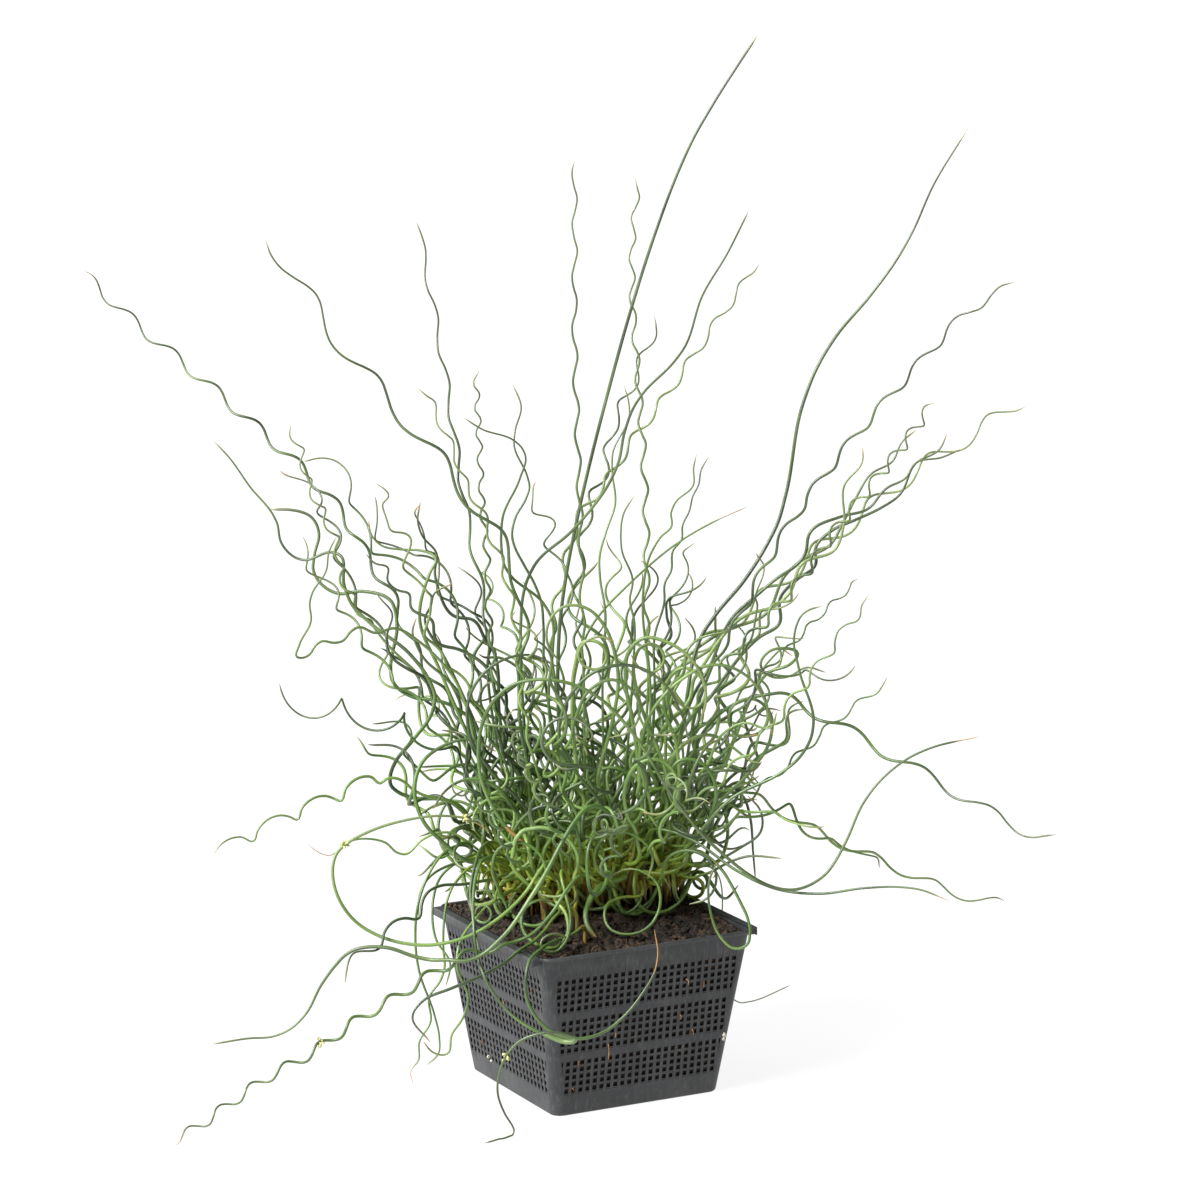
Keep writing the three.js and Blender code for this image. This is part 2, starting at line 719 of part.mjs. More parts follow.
// Square bars right through the basket cut the holes of two facing walls at a time.
function holeBars() {
  const length = 2 * (TOP_HALF + GRIP_WIDTH + WALL);
  const bars = [];
  for (const band of BAND_HEIGHTS) {
    for (const row of [-0.5, 0.5]) {
      const height = band + row * BAND_ROW_PITCH;
      const room = wallHalf(height) - HOLE_SIDE_MARGIN - HOLE_SIZE / 2;
      const columns = 2 * Math.floor(room / HOLE_PITCH + 0.5);
      for (let column = 0; column < columns; column += 1) {
        const along = (column - (columns - 1) / 2) * HOLE_PITCH;
        const throughX = new THREE.BoxGeometry(length, HOLE_SIZE, HOLE_SIZE);
        const throughY = new THREE.BoxGeometry(HOLE_SIZE, length, HOLE_SIZE);
        bars.push(throughX.translate(0, along, height));
        bars.push(throughY.translate(along, 0, height));
      }
    }
  }
  return bars;
}

function buildBasket() {
  let basket = solid(taperedBlock(0, BASKET_HEIGHT, 0));
  basket = basket.add(solid(beadRing()));
  basket = basket.add(solid(grip(1))).add(solid(grip(-1)));
  basket = basket.subtract(solid(taperedBlock(FLOOR_THICKNESS, BASKET_HEIGHT + WALL, WALL)));
  for (const bar of holeBars()) {
    basket = basket.subtract(solid(bar));
  }
  return solidGeometry(basket);
}

// ---- Soil -----------------------------------------------------------------------------------

const UP = new THREE.Vector3(0, 0, 1);

// A place in the clump's own layout, turned to the basket's frame.
function clumpPoint(across, deep, up) {
  return new THREE.Vector3(across, deep, up).applyAxisAngle(UP, CLUMP_TURN);
}

// The root ball stands up as a low mound, and the soil falls away from it to the walls.
function soilHeight(across, deep) {
  const along = (across - MOUND_CENTRE[0]) / MOUND_SPREAD[0];
  const away = (deep - MOUND_CENTRE[1]) / MOUND_SPREAD[1];
  return SOIL_LEVEL + SOIL_MOUND * Math.exp(-(along * along + away * away));
}

function soilHeightAt(x, y) {
  const place = new THREE.Vector3(x, y, 0).applyAxisAngle(UP, -CLUMP_TURN);
  return soilHeight(place.x, place.y);
}

const rootFoot = (culm) => soilHeight(...culm.root) - ROOT_DEPTH;

// A plain hole in the soil, one gap wider than the culm on every face.
function rootHole(culm) {
  const radius = THREE_SIDED_REACH * culm.thick[0] / 2 + 2 * FIT_GAP;
  const bottom = rootFoot(culm) - FIT_GAP;
  const top = bottom + 2 * ROOT_DEPTH;
  const path = [clumpPoint(...culm.root, bottom), clumpPoint(...culm.root, top)];
  return rod(path, [radius, radius]);
}

function buildSoil() {
  const random = seededRandom(11);
  const bottom = FLOOR_THICKNESS + FIT_GAP;
  const side = 2 * TOP_HALF;
  const depth = SOIL_LEVEL - bottom;
  const block = new THREE.BoxGeometry(side, side, depth, SOIL_CELLS, SOIL_CELLS, 1);
  block.translate(0, 0, bottom + depth / 2);
  const welded = weld(block);
  const place = welded.attributes.position;
  for (let i = 0; i < place.count; i += 1) {
    if (place.getZ(i) > SOIL_LEVEL - 1) {
      const lump = SOIL_ROUGHNESS * (2 * random() - 1);
      place.setZ(i, soilHeightAt(place.getX(i), place.getY(i)) + lump);
    }
  }
  const room = taperedBlock(bottom, BASKET_HEIGHT + SOIL_MOUND + WALL, WALL + FIT_GAP);
  let soil = solid(welded).intersect(solid(room));
  for (const culm of culms) {
    soil = soil.subtract(solid(rootHole(culm)));
  }
  return solidGeometry(soil);
}

// ---- Culm shapes ----------------------------------------------------------------------------

// A closed rod through the given points: a cylinder's rows are moved onto them, each turned
// with the path without twisting about it.
function rod(path, radii) {
  const rows = path.length - 1;
  const geometry = new THREE.CylinderGeometry(1, 1, 1, CULM_SIDES, rows);
  const tangents = path.map((point, i) => {
    const before = path[Math.max(i - 1, 0)];
    const after = path[Math.min(i + 1, rows)];
    return after.clone().sub(before).normalize();
  });
  const normals = [new THREE.Vector3(1, 0, 0)];
  for (let i = 1; i <= rows; i += 1) {
    const turn = new THREE.Quaternion().setFromUnitVectors(tangents[i - 1], tangents[i]);
    normals.push(normals[i - 1].clone().applyQuaternion(turn));
  }
  const place = geometry.attributes.position;
  for (let i = 0; i < place.count; i += 1) {
    const row = Math.round((place.getY(i) + 0.5) * rows);
    const side = new THREE.Vector3().crossVectors(normals[row], tangents[row]);
    const point = path[row].clone();
    point.addScaledVector(normals[row], radii[row] * place.getX(i));
    point.addScaledVector(side, radii[row] * place.getZ(i));
    place.setXYZ(i, point.x, point.y, point.z);
  }
  return geometry;
}

// Thickness falls slowly along the culm's body and faster where it draws out to its tip.
function culmRadius(culm, along) {
  const [root, tip] = culm.thick;
  const body = THREE.MathUtils.lerp(root, THREE.MathUtils.lerp(root, tip, BODY_TAPER), along);
  const point = THREE.MathUtils.smoothstep(along, TIP_START, 1);
  return THREE_SIDED_REACH * THREE.MathUtils.lerp(body, tip, point) / 2;
}

function meanLine(culm) {
  const collar = soilHeight(...culm.root) + ROOT_COLLAR;
  const points = [
    clumpPoint(...culm.root, collar),
    clumpPoint(...culm.root, collar + (culm.rise ?? ROOT_RISE)),
    ...culm.line.map((place) => clumpPoint(...place)),
  ];
  const curve = new THREE.CatmullRomCurve3(points, false, 'centripetal');
  curve.arcLengthDivisions = 80 * points.length;
  return curve;
}

// Fine points from root to tip: the mean line with its coil wound on from the tip backwards.
function coiledPath(culm) {
  const curve = meanLine(culm);
  const length = curve.getLength();
  const steps = Math.ceil(length / FINE_STEP);
  const deepAxis = clumpPoint(0, 1, 0);
  const { radius = 0, pitch = 40, tipPitch = 40, phase = 0, lean = 0 } = culm.coil ?? {};
  const reach = culm.coil?.reach ?? COIL_SHARE * length;
  let turns = phase;
  const path = [];
  for (let i = steps; i >= 0; i -= 1) {
    const along = i / steps;
    const fromTip = length * (1 - along);
    const point = curve.getPointAt(along);
    const tangent = curve.getTangentAt(along);
    const across = new THREE.Vector3().crossVectors(deepAxis, tangent).normalize();
    const away = new THREE.Vector3().crossVectors(tangent, across);
    const begun = THREE.MathUtils.smoothstep(length - fromTip, ROOT_RISE, ROOT_RISE + COIL_ONSET);
    const ended = THREE.MathUtils.smoothstep(fromTip, reach, reach + COIL_ONSET);
    const wound = radius * begun * (1 - ended);
    const angle = 2 * Math.PI * turns;
    point.addScaledVector(across, wound * Math.cos(angle));
    point.addScaledVector(away, wound * Math.sin(angle) * Math.sqrt(1 - lean * lean));
    point.addScaledVector(tangent, -wound * Math.sin(angle) * lean);
    path.unshift(point);
    turns += FINE_STEP / THREE.MathUtils.lerp(pitch, tipPitch, along);
  }
  path.unshift(clumpPoint(...culm.root, rootFoot(culm)));
  return path;
}

// ---- Bending clear --------------------------------------------------------------------------
// Culms are placed one after another. Where one would touch a culm already there, itself, the
// soil or the basket, its own points are pushed off until it passes clear.

const cells = new Map();
const cellOf = (value) => Math.floor(value / CELL);
const cellKey = (i, j, k) => `${i},${j},${k}`;

function remember(point, radius) {
  const key = cellKey(cellOf(point.x), cellOf(point.y), cellOf(point.z));
  if (!cells.has(key)) cells.set(key, []);
  cells.get(key).push({ point, radius });
}

function nearby(point) {
  const [i, j, k] = [cellOf(point.x), cellOf(point.y), cellOf(point.z)];
  const found = [];
  for (let a = i - 1; a <= i + 1; a += 1) {
    for (let b = j - 1; b <= j + 1; b += 1) {
      for (let c = k - 1; c <= k + 1; c += 1) {
        found.push(...(cells.get(cellKey(a, b, c)) ?? []));
      }
    }
  }
  return found;
}

function pushFrom(other, point, need, push) {
  const away = point.clone().sub(other);
  const gap = away.length();
  if (gap >= need) return 0;
  if (gap < 1e-6) away.set(0, 0, 1);
  push.addScaledVector(away.normalize(), need - gap);
  return need - gap;
}

// Up out of the soil or off the rim, or out from the wall, whichever is nearer.
function pushOffBasket(point, radius, push) {
  const need = radius + CLEARANCE;
  const half = point.z > BASKET_HEIGHT - GRIP_LIP - need
    ? [TOP_HALF + GRIP_WIDTH, TOP_HALF + BEAD_PROUD]
    : [wallHalf(Math.max(point.z, 0)), wallHalf(Math.max(point.z, 0))];
  const outX = Math.abs(point.x) - half[0] - need;
  const outY = Math.abs(point.y) - half[1] - need;
  if (outX > 0 || outY > 0) return 0;
  const inner = TOP_HALF - WALL - need;
  const overSoil = Math.abs(point.x) < inner && Math.abs(point.y) < inner;
  const soilTop = soilHeightAt(point.x, point.y) + SOIL_ROUGHNESS;
  const top = overSoil ? soilTop : Math.max(soilTop, BASKET_HEIGHT);
  const rise = top + need - point.z;
  if (rise <= 0) return 0;
  if (rise < Math.min(-outX, -outY) || overSoil) {
    push.z += rise;
    return rise;
  }
  if (outX > outY) push.x -= Math.sign(point.x) * outX;
  else push.y -= Math.sign(point.y) * outY;
  return -Math.max(outX, outY);
}

// A pushed point takes its neighbours with it, so that the culm bends and doesn't kink. Its root
// and collar stay where they are.
function spreadPushes(pushes) {
  return pushes.map((_, i) => {
    const spread = new THREE.Vector3();
    let weights = 0;
    for (let k = -BEND_SPREAD; k <= BEND_SPREAD; k += 1) {
      const push = pushes[i + k];
      const weight = 1 - Math.abs(k) / (BEND_SPREAD + 1);
      weights += weight;
      if (push) spread.addScaledVector(push, weight);
    }
    const free = THREE.MathUtils.clamp((i - COLLAR_POINT) / BEND_SPREAD, 0, 1);
    return spread.multiplyScalar(BEND_STRENGTH * free / weights);
  });
}

function bendClear(path, radii) {
  const ownStretch = Math.ceil(OWN_STRETCH / FINE_STEP);
  for (let round = 0; round < BEND_ROUNDS; round += 1) {
    let worst = 0;
    const pushes = path.map((point, i) => {
      const push = new THREE.Vector3();
      if (i <= COLLAR_POINT) return push;
      for (const other of nearby(point)) {
        const need = radii[i] + other.radius + CLEARANCE;
        worst = Math.max(worst, pushFrom(other.point, point, need, push));
      }
      for (let j = 0; j < path.length; j += 1) {
        if (Math.abs(i - j) > ownStretch) {
          const need = radii[i] + radii[j] + CLEARANCE;
          worst = Math.max(worst, pushFrom(path[j], point, need, push));
        }
      }
      worst = Math.max(worst, pushOffBasket(point, radii[i], push));
      const sunk = radii[i] + FIT_GAP - point.z;
      if (sunk > 0) push.z += sunk;
      worst = Math.max(worst, sunk);
      return push;
    });
    if (worst < CLEAR_ENOUGH) return;
    spreadPushes(pushes).forEach((push, i) => path[i].add(push));
  }
}

// Keeps only the points that the shape needs.
function thinOut(path, first, last, kept) {
  const chord = new THREE.Line3(path[first], path[last]);
  const foot = new THREE.Vector3();
  let worst = 0;
  let split = first;
  for (let i = first + 1; i < last; i += 1) {
    const error = chord.closestPointToPoint(path[i], true, foot).distanceTo(path[i]);
    if (error > worst) {
      worst = error;
      split = i;
    }
  }
  if (worst > CHORD_ERROR) {
    thinOut(path, first, split, kept);
    kept.push(split);
    thinOut(path, split, last, kept);
  }
}

const GREENS = ['#5d7a4a', '#6b8a5c', '#4c6a3e', '#7a9468', '#587550'];

function buildCulm(culm, index) {
  const path = coiledPath(culm);
  const last = path.length - 1;
  const radii = path.map((point, i) => culmRadius(culm, i / last));
  bendClear(path, radii);
  path.forEach((point, i) => remember(point, radii[i]));
  const kept = [0, COLLAR_POINT];
  thinOut(path, COLLAR_POINT, last, kept);
  kept.push(last);
  const culmRod = rod(kept.map((i) => path[i]), kept.map((i) => radii[i]));
  addPiece(culm.name, weld(culmRod), GREENS[index % GREENS.length], 0.55);
}

addPiece('basket', buildBasket(), '#4b4d50', 0.55);
addPiece('soil', buildSoil(), '#2c231c', 0.95);
culms.forEach(buildCulm);

export default rush;
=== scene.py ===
# Corkscrew rush growing in a square perforated pond basket.
# Metres, +Z up, with the origin in the middle of the basket's underside. Pieces are shaped in
# millimetres and brought to metres when they are finished.

import math
import random

import bmesh
import bpy
from mathutils import Matrix, Vector, noise
from mathutils.geometry import interpolate_bezier
from mathutils.kdtree import KDTree


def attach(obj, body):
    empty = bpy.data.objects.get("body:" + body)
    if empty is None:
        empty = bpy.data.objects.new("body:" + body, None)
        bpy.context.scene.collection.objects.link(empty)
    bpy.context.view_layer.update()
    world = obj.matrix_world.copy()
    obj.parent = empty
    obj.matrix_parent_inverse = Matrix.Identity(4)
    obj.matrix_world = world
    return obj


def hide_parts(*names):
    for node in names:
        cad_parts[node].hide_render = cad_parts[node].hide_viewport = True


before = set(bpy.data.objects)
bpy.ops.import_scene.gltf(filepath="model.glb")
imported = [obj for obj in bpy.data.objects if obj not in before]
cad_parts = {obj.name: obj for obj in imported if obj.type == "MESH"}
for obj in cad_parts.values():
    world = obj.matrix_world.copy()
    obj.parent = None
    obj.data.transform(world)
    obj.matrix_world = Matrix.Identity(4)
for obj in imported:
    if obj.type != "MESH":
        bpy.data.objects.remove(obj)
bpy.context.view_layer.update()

# ---- Basket ---------------------------------------------------------------------------------
# One shell of anthracite polypropylene, injection moulded: a floor and four leaning walls with
# rounded corners, three bands of fine square holes in each wall, and shallow grooves down the
# columns of holes. A rolled edge runs round its rim and two sides carry a folded grip.

MM = 0.001
BASKET_HEIGHT = 121.0
RIM_HALF = 83.0  # half the width over the walls, at the rim and at the floor
FOOT_HALF = 66.0
CORNER_RADIUS = 8.0
FOOT_RADIUS = 1.8
WALL = 1.8

COLUMNS = 28
COLUMN_PITCH = 5.55
HOLE = 3.2
BARE_CORNER = 6.8  # the holes stop this far from where two walls would meet
BAND_TOPS = [101.6, 70.5, 39.4]  # the top row of each band
BAND_ROWS = 5
ROW_PITCH = 5.2
GROOVE_DEPTH = 0.3
GROOVE_SPANS = [(111.0, 78.2), (72.9, 47.1), (41.8, 16.0)]
GROOVE_FADE = 7.0
DRAIN_HOLE = 4.4
DRAIN_PITCH = 9.0
DRAIN_COLUMNS = 12

EDGE_PROUD = 1.0
EDGE_HEIGHT = 2.6
EDGE_THICKNESS = 2.8
EDGE_ROUND = 0.9
GRIP_WIDTH = 7.0
GRIP_THICKNESS = 1.6
GRIP_LIP = 5.6
GRIP_HALF_LENGTH = 78.0
GRIP_END_ROUND, GRIP_ROUND = 1.5, 0.8
GUSSETS = 9
GUSSET_THICKNESS = 1.3
OVERLAP = 0.4  # how far a gusset reaches into the wall, the grip and its lip

WALL_SLOPE = (RIM_HALF - FOOT_HALF) / BASKET_HEIGHT
SHELL_TOP = BASKET_HEIGHT - 0.6  # the walls end inside the rolled edge
CUT_SNAP = 0.0005  # a cut this near a point runs through it
TINY, SHARP = 0.01, 1.0  # millimetres that count as none, and the least turn of an arris in radians


def wall_half(height):
    return FOOT_HALF + WALL_SLOPE * height


def only(kind, geometry):
    """The points, the edges or the faces among what an operator has made."""
    return [part for part in geometry if isinstance(part, kind)]


def sharp_edges(mesh, least=SHARP):
    return [e for e in mesh.edges if len(e.link_faces) == 2 and e.calc_face_angle() > least]


def round_off(mesh, edges, radius, segments):
    """Rounds edges off to a radius."""
    bmesh.ops.bevel(
        mesh, geom=edges, offset=radius, offset_type="OFFSET", segments=segments, profile=0.5,
        affect="EDGES", material=-1)


def leaning_block(low_half, high_half, low, high, corner):
    """A square block with rounded upright corners that widens from low to high."""
    block = bmesh.new()
    bmesh.ops.create_cube(block, size=1.0)
    bmesh.ops.scale(block, vec=(2 * low_half, 2 * low_half, high - low), verts=block.verts)
    bmesh.ops.translate(block, vec=(0, 0, (low + high) / 2), verts=block.verts)
    upper = [v for v in block.verts if v.co.z > (low + high) / 2]
    widening = high_half / low_half
    bmesh.ops.scale(block, vec=(widening, widening, 1), verts=upper)
    half_way = 0.5 * (high - low)
    uprights = [e for e in block.edges if abs(e.verts[0].co.z - e.verts[1].co.z) > half_way]
    round_off(block, uprights, corner, 8)
    return block


def level_faces(block, height):
    """The faces of a block that lie flat at a height."""
    flat = [f for f in block.faces if abs(f.normal.z) > 0.9]
    return [f for f in flat if abs(f.calc_center_median().z - height) < TINY]


def widest(faces):
    return max(faces, key=lambda face: face.calc_area())


def cut(mesh, faces, point, normal):
    """Cuts faces along a plane and returns the faces behind it and the faces ahead of it."""
    edges = {e for f in faces for e in f.edges}
    corners = {v for f in faces for v in f.verts}
    made = bmesh.ops.bisect_plane(
        mesh, geom=[*corners, *edges, *faces], plane_co=point, plane_no=normal, dist=CUT_SNAP)
    sides = ([], [])
    for face in only(bmesh.types.BMFace, made["geom"]):
        ahead = (face.calc_center_median() - Vector(point)).dot(Vector(normal)) > 0
        sides[ahead].append(face)
    return sides


def cut_strips(mesh, faces, places, normal):
    """Cuts faces along many parallel planes, at these distances from the origin."""
    done = []
    for place in sorted(places):
        behind, faces = cut(mesh, faces, place * Vector(normal), normal)
        done += behind
    return done + faces


def to_mesh(shape, name):
    """A mesh of a bmesh, which is freed."""
    mesh = bpy.data.meshes.new(name)
    shape.to_mesh(mesh)
    shape.free()
    return mesh


def set_out(name, data):
    """A new object in the scene."""
    thing = bpy.data.objects.new(name, data)
    bpy.context.scene.collection.objects.link(thing)
    return thing


def join(whole, part):
    """Adds one bmesh to another and frees it."""
    mesh = to_mesh(part, "joined")
    whole.from_mesh(mesh)
    bpy.data.meshes.remove(mesh)


def thicken(sheet, thickness, even):
    """Gives a sheet its thickness inwards, as Solidify does, and returns it as a closed body."""
    mesh = to_mesh(sheet, "sheet")
    holder = set_out("sheet", mesh)
    wall = holder.modifiers.new("wall", "SOLIDIFY")
    wall.thickness = thickness
    wall.offset = -1.0
    wall.use_even_offset = even
    body = bmesh.new()
    body.from_object(holder, bpy.context.evaluated_depsgraph_get())
    bpy.data.objects.remove(holder)
    bpy.data.meshes.remove(mesh)
    return body


def near_any(value, places, reach):
    return any(abs(value - place) < reach for place in places)


def in_line(count, pitch):
    """Places a pitch apart, about the middle."""
    return [(i - (count - 1) / 2) * pitch for i in range(count)]


def both_sides(places, width):
    """Where the two cuts of each opening run, this far apart about its place."""
    return [place + side * width / 2 for place in places for side in (-1, 1)]


column_places = in_line(COLUMNS, COLUMN_PITCH)
row_places = [top - i * ROW_PITCH for top in BAND_TOPS for i in range(BAND_ROWS)]
drain_places = in_line(DRAIN_COLUMNS, DRAIN_PITCH)


def groove_depth(height):
    """Full in line with the holes, fading out over the top of the upper band."""
    top = GROOVE_SPANS[0][0]
    return GROOVE_DEPTH * min(1.0, max(0.0, (top - height) / GROOVE_FADE))


def pierce_wall(shell, quarter):
    """Cuts the grooves and holes of the wall that faces -Y turned by quarter turns."""
    turn = Matrix.Rotation(quarter * math.pi / 2, 3, "Z")
    back = turn.inverted()
    outward = turn @ Vector((0, -1, -WALL_SLOPE)).normalized()
    along = turn @ Vector((1, 0, 0))
    faces = [widest(f for f in shell.faces if f.normal.dot(outward) > 0.99)]
    heights = both_sides(row_places, HOLE) + [end for span in GROOVE_SPANS for end in span]
    heights += [GROOVE_SPANS[0][0] - GROOVE_FADE * part for part in (0.33, 0.67, 1.0)]
    faces = cut_strips(shell, faces, set(heights), (0, 0, 1))
    for side in (-1, 1):
        margin = turn @ Vector((side * (FOOT_HALF - BARE_CORNER), 0, 0))
        behind, ahead = cut(shell, faces, margin, turn @ Vector((side, 0, -WALL_SLOPE)))
        faces = behind + ahead
    faces = cut_strips(shell, faces, both_sides(column_places, HOLE), along)

    grooved = []
    for face in faces:
        middle = back @ face.calc_center_median()
        inside = abs(middle.x) < wall_half(middle.z) - BARE_CORNER
        in_span = any(low < middle.z < high for high, low in GROOVE_SPANS)
        if inside and in_span and near_any(middle.x, column_places, HOLE / 2):
            grooved.append(face)
    pressed = bmesh.ops.extrude_face_region(shell, geom=grooved)["geom"]
    bmesh.ops.delete(shell, geom=grooved, context="FACES")
    for corner in only(bmesh.types.BMVert, pressed):
        corner.co -= outward * groove_depth(corner.co.z)
    holes = []
    for face in only(bmesh.types.BMFace, pressed):
        middle = back @ face.calc_center_median()
        if near_any(middle.z, row_places, HOLE / 2) and face.calc_area() > 0.25 * HOLE * HOLE:
            holes.append(face)
    bmesh.ops.delete(shell, geom=holes, context="FACES")


def pierce_floor(shell):
    faces = [widest(level_faces(shell, 0))]
    for normal in ((1, 0, 0), (0, 1, 0)):
        faces = cut_strips(shell, faces, both_sides(drain_places, DRAIN_HOLE), normal)
    holes = []
    for face in faces:
        middle = face.calc_center_median()
        centred = near_any(middle.x, drain_places, HOLE / 4) and near_any(middle.y, drain_places, HOLE / 4)
        mid_strip = abs(middle.x) < DRAIN_PITCH or abs(middle.y) < DRAIN_PITCH
        if centred and not mid_strip:
            holes.append(face)
    bmesh.ops.delete(shell, geom=holes, context="FACES")


def rolled_edge():
    """The bar round the rim, rounded over on its outside and inside."""
    half = RIM_HALF + EDGE_PROUD
    low = BASKET_HEIGHT - EDGE_HEIGHT
    bar = leaning_block(half, half, low, BASKET_HEIGHT, CORNER_RADIUS + EDGE_PROUD)
    flats = level_faces(bar, low) + level_faces(bar, BASKET_HEIGHT)
    bmesh.ops.delete(bar, geom=flats, context="FACES_ONLY")
    bmesh.ops.recalc_face_normals(bar, faces=bar.faces)
    bar = thicken(bar, EDGE_THICKNESS, True)
    round_off(bar, sharp_edges(bar), EDGE_ROUND, 3)
    return bar


def box_between(low, high):
    box = bmesh.new()
    bmesh.ops.create_cube(box, size=1.0)
    bmesh.ops.scale(box, vec=Vector(high) - Vector(low), verts=box.verts)
    bmesh.ops.translate(box, vec=(Vector(low) + Vector(high)) / 2, verts=box.verts)
    return box


def carrying_grip(side):
    """The flange folded out and down along one side, with its gussets under it."""
    root = RIM_HALF - WALL / 2
    edge = RIM_HALF + GRIP_WIDTH
    under = BASKET_HEIGHT - GRIP_THICKNESS
    bar = box_between((root, -GRIP_HALF_LENGTH, under), (edge, GRIP_HALF_LENGTH, BASKET_HEIGHT))
    cut(bar, bar.faces[:], (edge - GRIP_THICKNESS, 0, 0), (1, 0, 0))
    strip = max(level_faces(bar, under), key=lambda f: f.calc_center_median().x)
    lip = bmesh.ops.extrude_face_region(bar, geom=[strip])["geom"]
    bmesh.ops.delete(bar, geom=[strip], context="FACES")
    lip_corners = only(bmesh.types.BMVert, lip)
    bmesh.ops.translate(bar, vec=(0, 0, GRIP_THICKNESS - GRIP_LIP), verts=lip_corners)
    ends = [
        e for e in bar.edges
        if abs(e.verts[0].co.z - e.verts[1].co.z) > 0.5 and min(v.co.x for v in e.verts) > edge - 0.1
    ]
    round_off(bar, ends, GRIP_END_ROUND, 4)
    shoulders = [
        e for e in sharp_edges(bar)
        if min(v.co.z for v in e.verts) > BASKET_HEIGHT - 0.1 and max(v.co.x for v in e.verts) > edge - 2
    ]
    round_off(bar, shoulders, GRIP_ROUND, 3)
    for i in range(GUSSETS):
        place = (2 * i / (GUSSETS - 1) - 1) * (GRIP_HALF_LENGTH - GUSSET_THICKNESS)
        gusset = box_between(
            (root + OVERLAP, place - GUSSET_THICKNESS / 2, BASKET_HEIGHT - GRIP_LIP + 0.5),
            (edge - OVERLAP, place + GUSSET_THICKNESS / 2, under + OVERLAP))
        join(bar, gusset)
    if side < 0:
        bmesh.ops.rotate(bar, cent=(0, 0, 0), matrix=Matrix.Rotation(math.pi, 3, "Z"), verts=bar.verts)
    return bar


def finish_piece(shape, name, material, nodes=(), smooth_angle=60):
    """Makes an object from a bmesh in millimetres that rides with the plant and its basket. It is
    shaded smooth over edges of up to so many degrees."""
    bmesh.ops.scale(shape, vec=(MM, MM, MM), verts=shape.verts)
    for face in shape.faces:
        face.smooth = True
    for edge in sharp_edges(shape, math.radians(smooth_angle)):
        edge.smooth = False
    piece = set_out(name, to_mesh(shape, name))
    piece.data.materials.append(material)
    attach(piece, "root")
    if nodes:
        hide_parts(*nodes)


def paint(hex_colour):
    """An sRGB hex colour as linear RGBA."""
    channels = [int(hex_colour[i:i + 2], 16) / 255 for i in (1, 3, 5)]
    linear = [c / 12.92 if c <= 0.04045 else ((c + 0.055) / 1.055) ** 2.4 for c in channels]
    return (*linear, 1.0)


def add_node(tree, kind, inputs=None, stops=(), **settings):
    """Adds a node with its settings and a ramp's stops. Each input is set to a value, or linked to
    a socket or to the first output of a node."""
    node = tree.nodes.new("ShaderNode" + kind)
    for name, value in settings.items():
        setattr(node, name, value)
    if stops:
        ramp = node.color_ramp.elements
        while len(ramp) < len(stops):
            ramp.new(0.5)
        for element, (place, colour) in zip(ramp, stops):
            element.position = place
            element.color = paint(colour)
    for name, value in (inputs or {}).items():
        if isinstance(value, bpy.types.Node):
            value = value.outputs[0]
        if isinstance(value, bpy.types.NodeSocket):
            tree.links.new(value, node.inputs[name])
        else:
            node.inputs[name].default_value = value
    return node


def new_material(name):
    """An empty material, its node tree and the object's own coordinates in metres."""
    material = bpy.data.materials.new(name)
    material.use_nodes = True
    tree = material.node_tree
    tree.nodes.clear()
    return material, tree, add_node(tree, "TexCoord").outputs["Object"]


# Moulded polypropylene, anthracite: a satin grey skin with a faint cloud of flow marks, long
# pale streaks up the walls, partly drag marks from handling and partly painted highlight on the
# webs between the holes, and pale dust of dried potting water that settles in patches. The rim is
# paler towards its top.
polypropylene, tree, place = new_material("moulded_anthracite_polypropylene")
cloud = add_node(tree, "TexNoise", {
    "Vector": place, "Scale": 38.0, "Detail": 4.0, "Roughness": 0.6})  # about 26 mm
skin = add_node(tree, "ValToRGB", {"Fac": cloud}, [
    (0.3, "#292a2c"), (0.55, "#323335"), (0.75, "#3d3e3f")])
# Pale upright streaks: drag marks, lightened to paint highlights on the webs between the holes.
streak_place = add_node(tree, "Mapping", {"Vector": place, "Scale": (1.0, 1.0, 0.12)})
drag_and_highlight_streaks = add_node(tree, "TexNoise", {"Vector": streak_place, "Scale": 620.0, "Detail": 3.0})  # 1.6 mm wide
drag_and_highlight_mask = add_node(tree, "MapRange", {
    "Value": drag_and_highlight_streaks, "From Min": 0.54, "From Max": 0.78, "To Max": 0.4})
scuffed_and_highlit = add_node(tree, "MixRGB", {"Fac": drag_and_highlight_mask, "Color1": skin, "Color2": paint("#686a6c")})
dust = add_node(tree, "TexNoise", {
    "Vector": place, "Scale": 95.0, "Detail": 8.0, "Roughness": 0.72})  # about 10 mm, to 0.1 mm
dust_mask = add_node(tree, "MapRange", {
    "Value": dust, "From Min": 0.5, "From Max": 0.78, "To Max": 0.42})
dusty = add_node(tree, "MixRGB", {"Fac": dust_mask, "Color1": scuffed_and_highlit, "Color2": paint("#65645e")})
height = add_node(tree, "SeparateXYZ", {"Vector": place})
# The rim grows paler towards its top.
rim_top_mask = add_node(tree, "MapRange", {
    "Value": height.outputs["Z"], "From Min": 0.1175, "From Max": 0.1208, "To Max": 0.22})
rim_paler_to_top = add_node(tree, "MixRGB", {"Fac": rim_top_mask, "Color1": dusty, "Color2": paint("#585a5b")})
satin = add_node(tree, "MapRange", {
    "Value": dust, "From Min": 0.3, "From Max": 0.75, "To Min": 0.4, "To Max": 0.62})
grain = add_node(tree, "TexNoise", {
    "Vector": place, "Scale": 1800.0, "Detail": 2.0})  # moulded grain of about 0.5 mm
relief = add_node(tree, "Bump", {"Height": grain, "Strength": 0.25, "Distance": 0.0001})
plastic = add_node(tree, "BsdfPrincipled", {
    "Base Color": rim_paler_to_top, "Roughness": satin, "IOR": 1.49, "Normal": relief})
add_node(tree, "OutputMaterial", {"Surface": plastic})

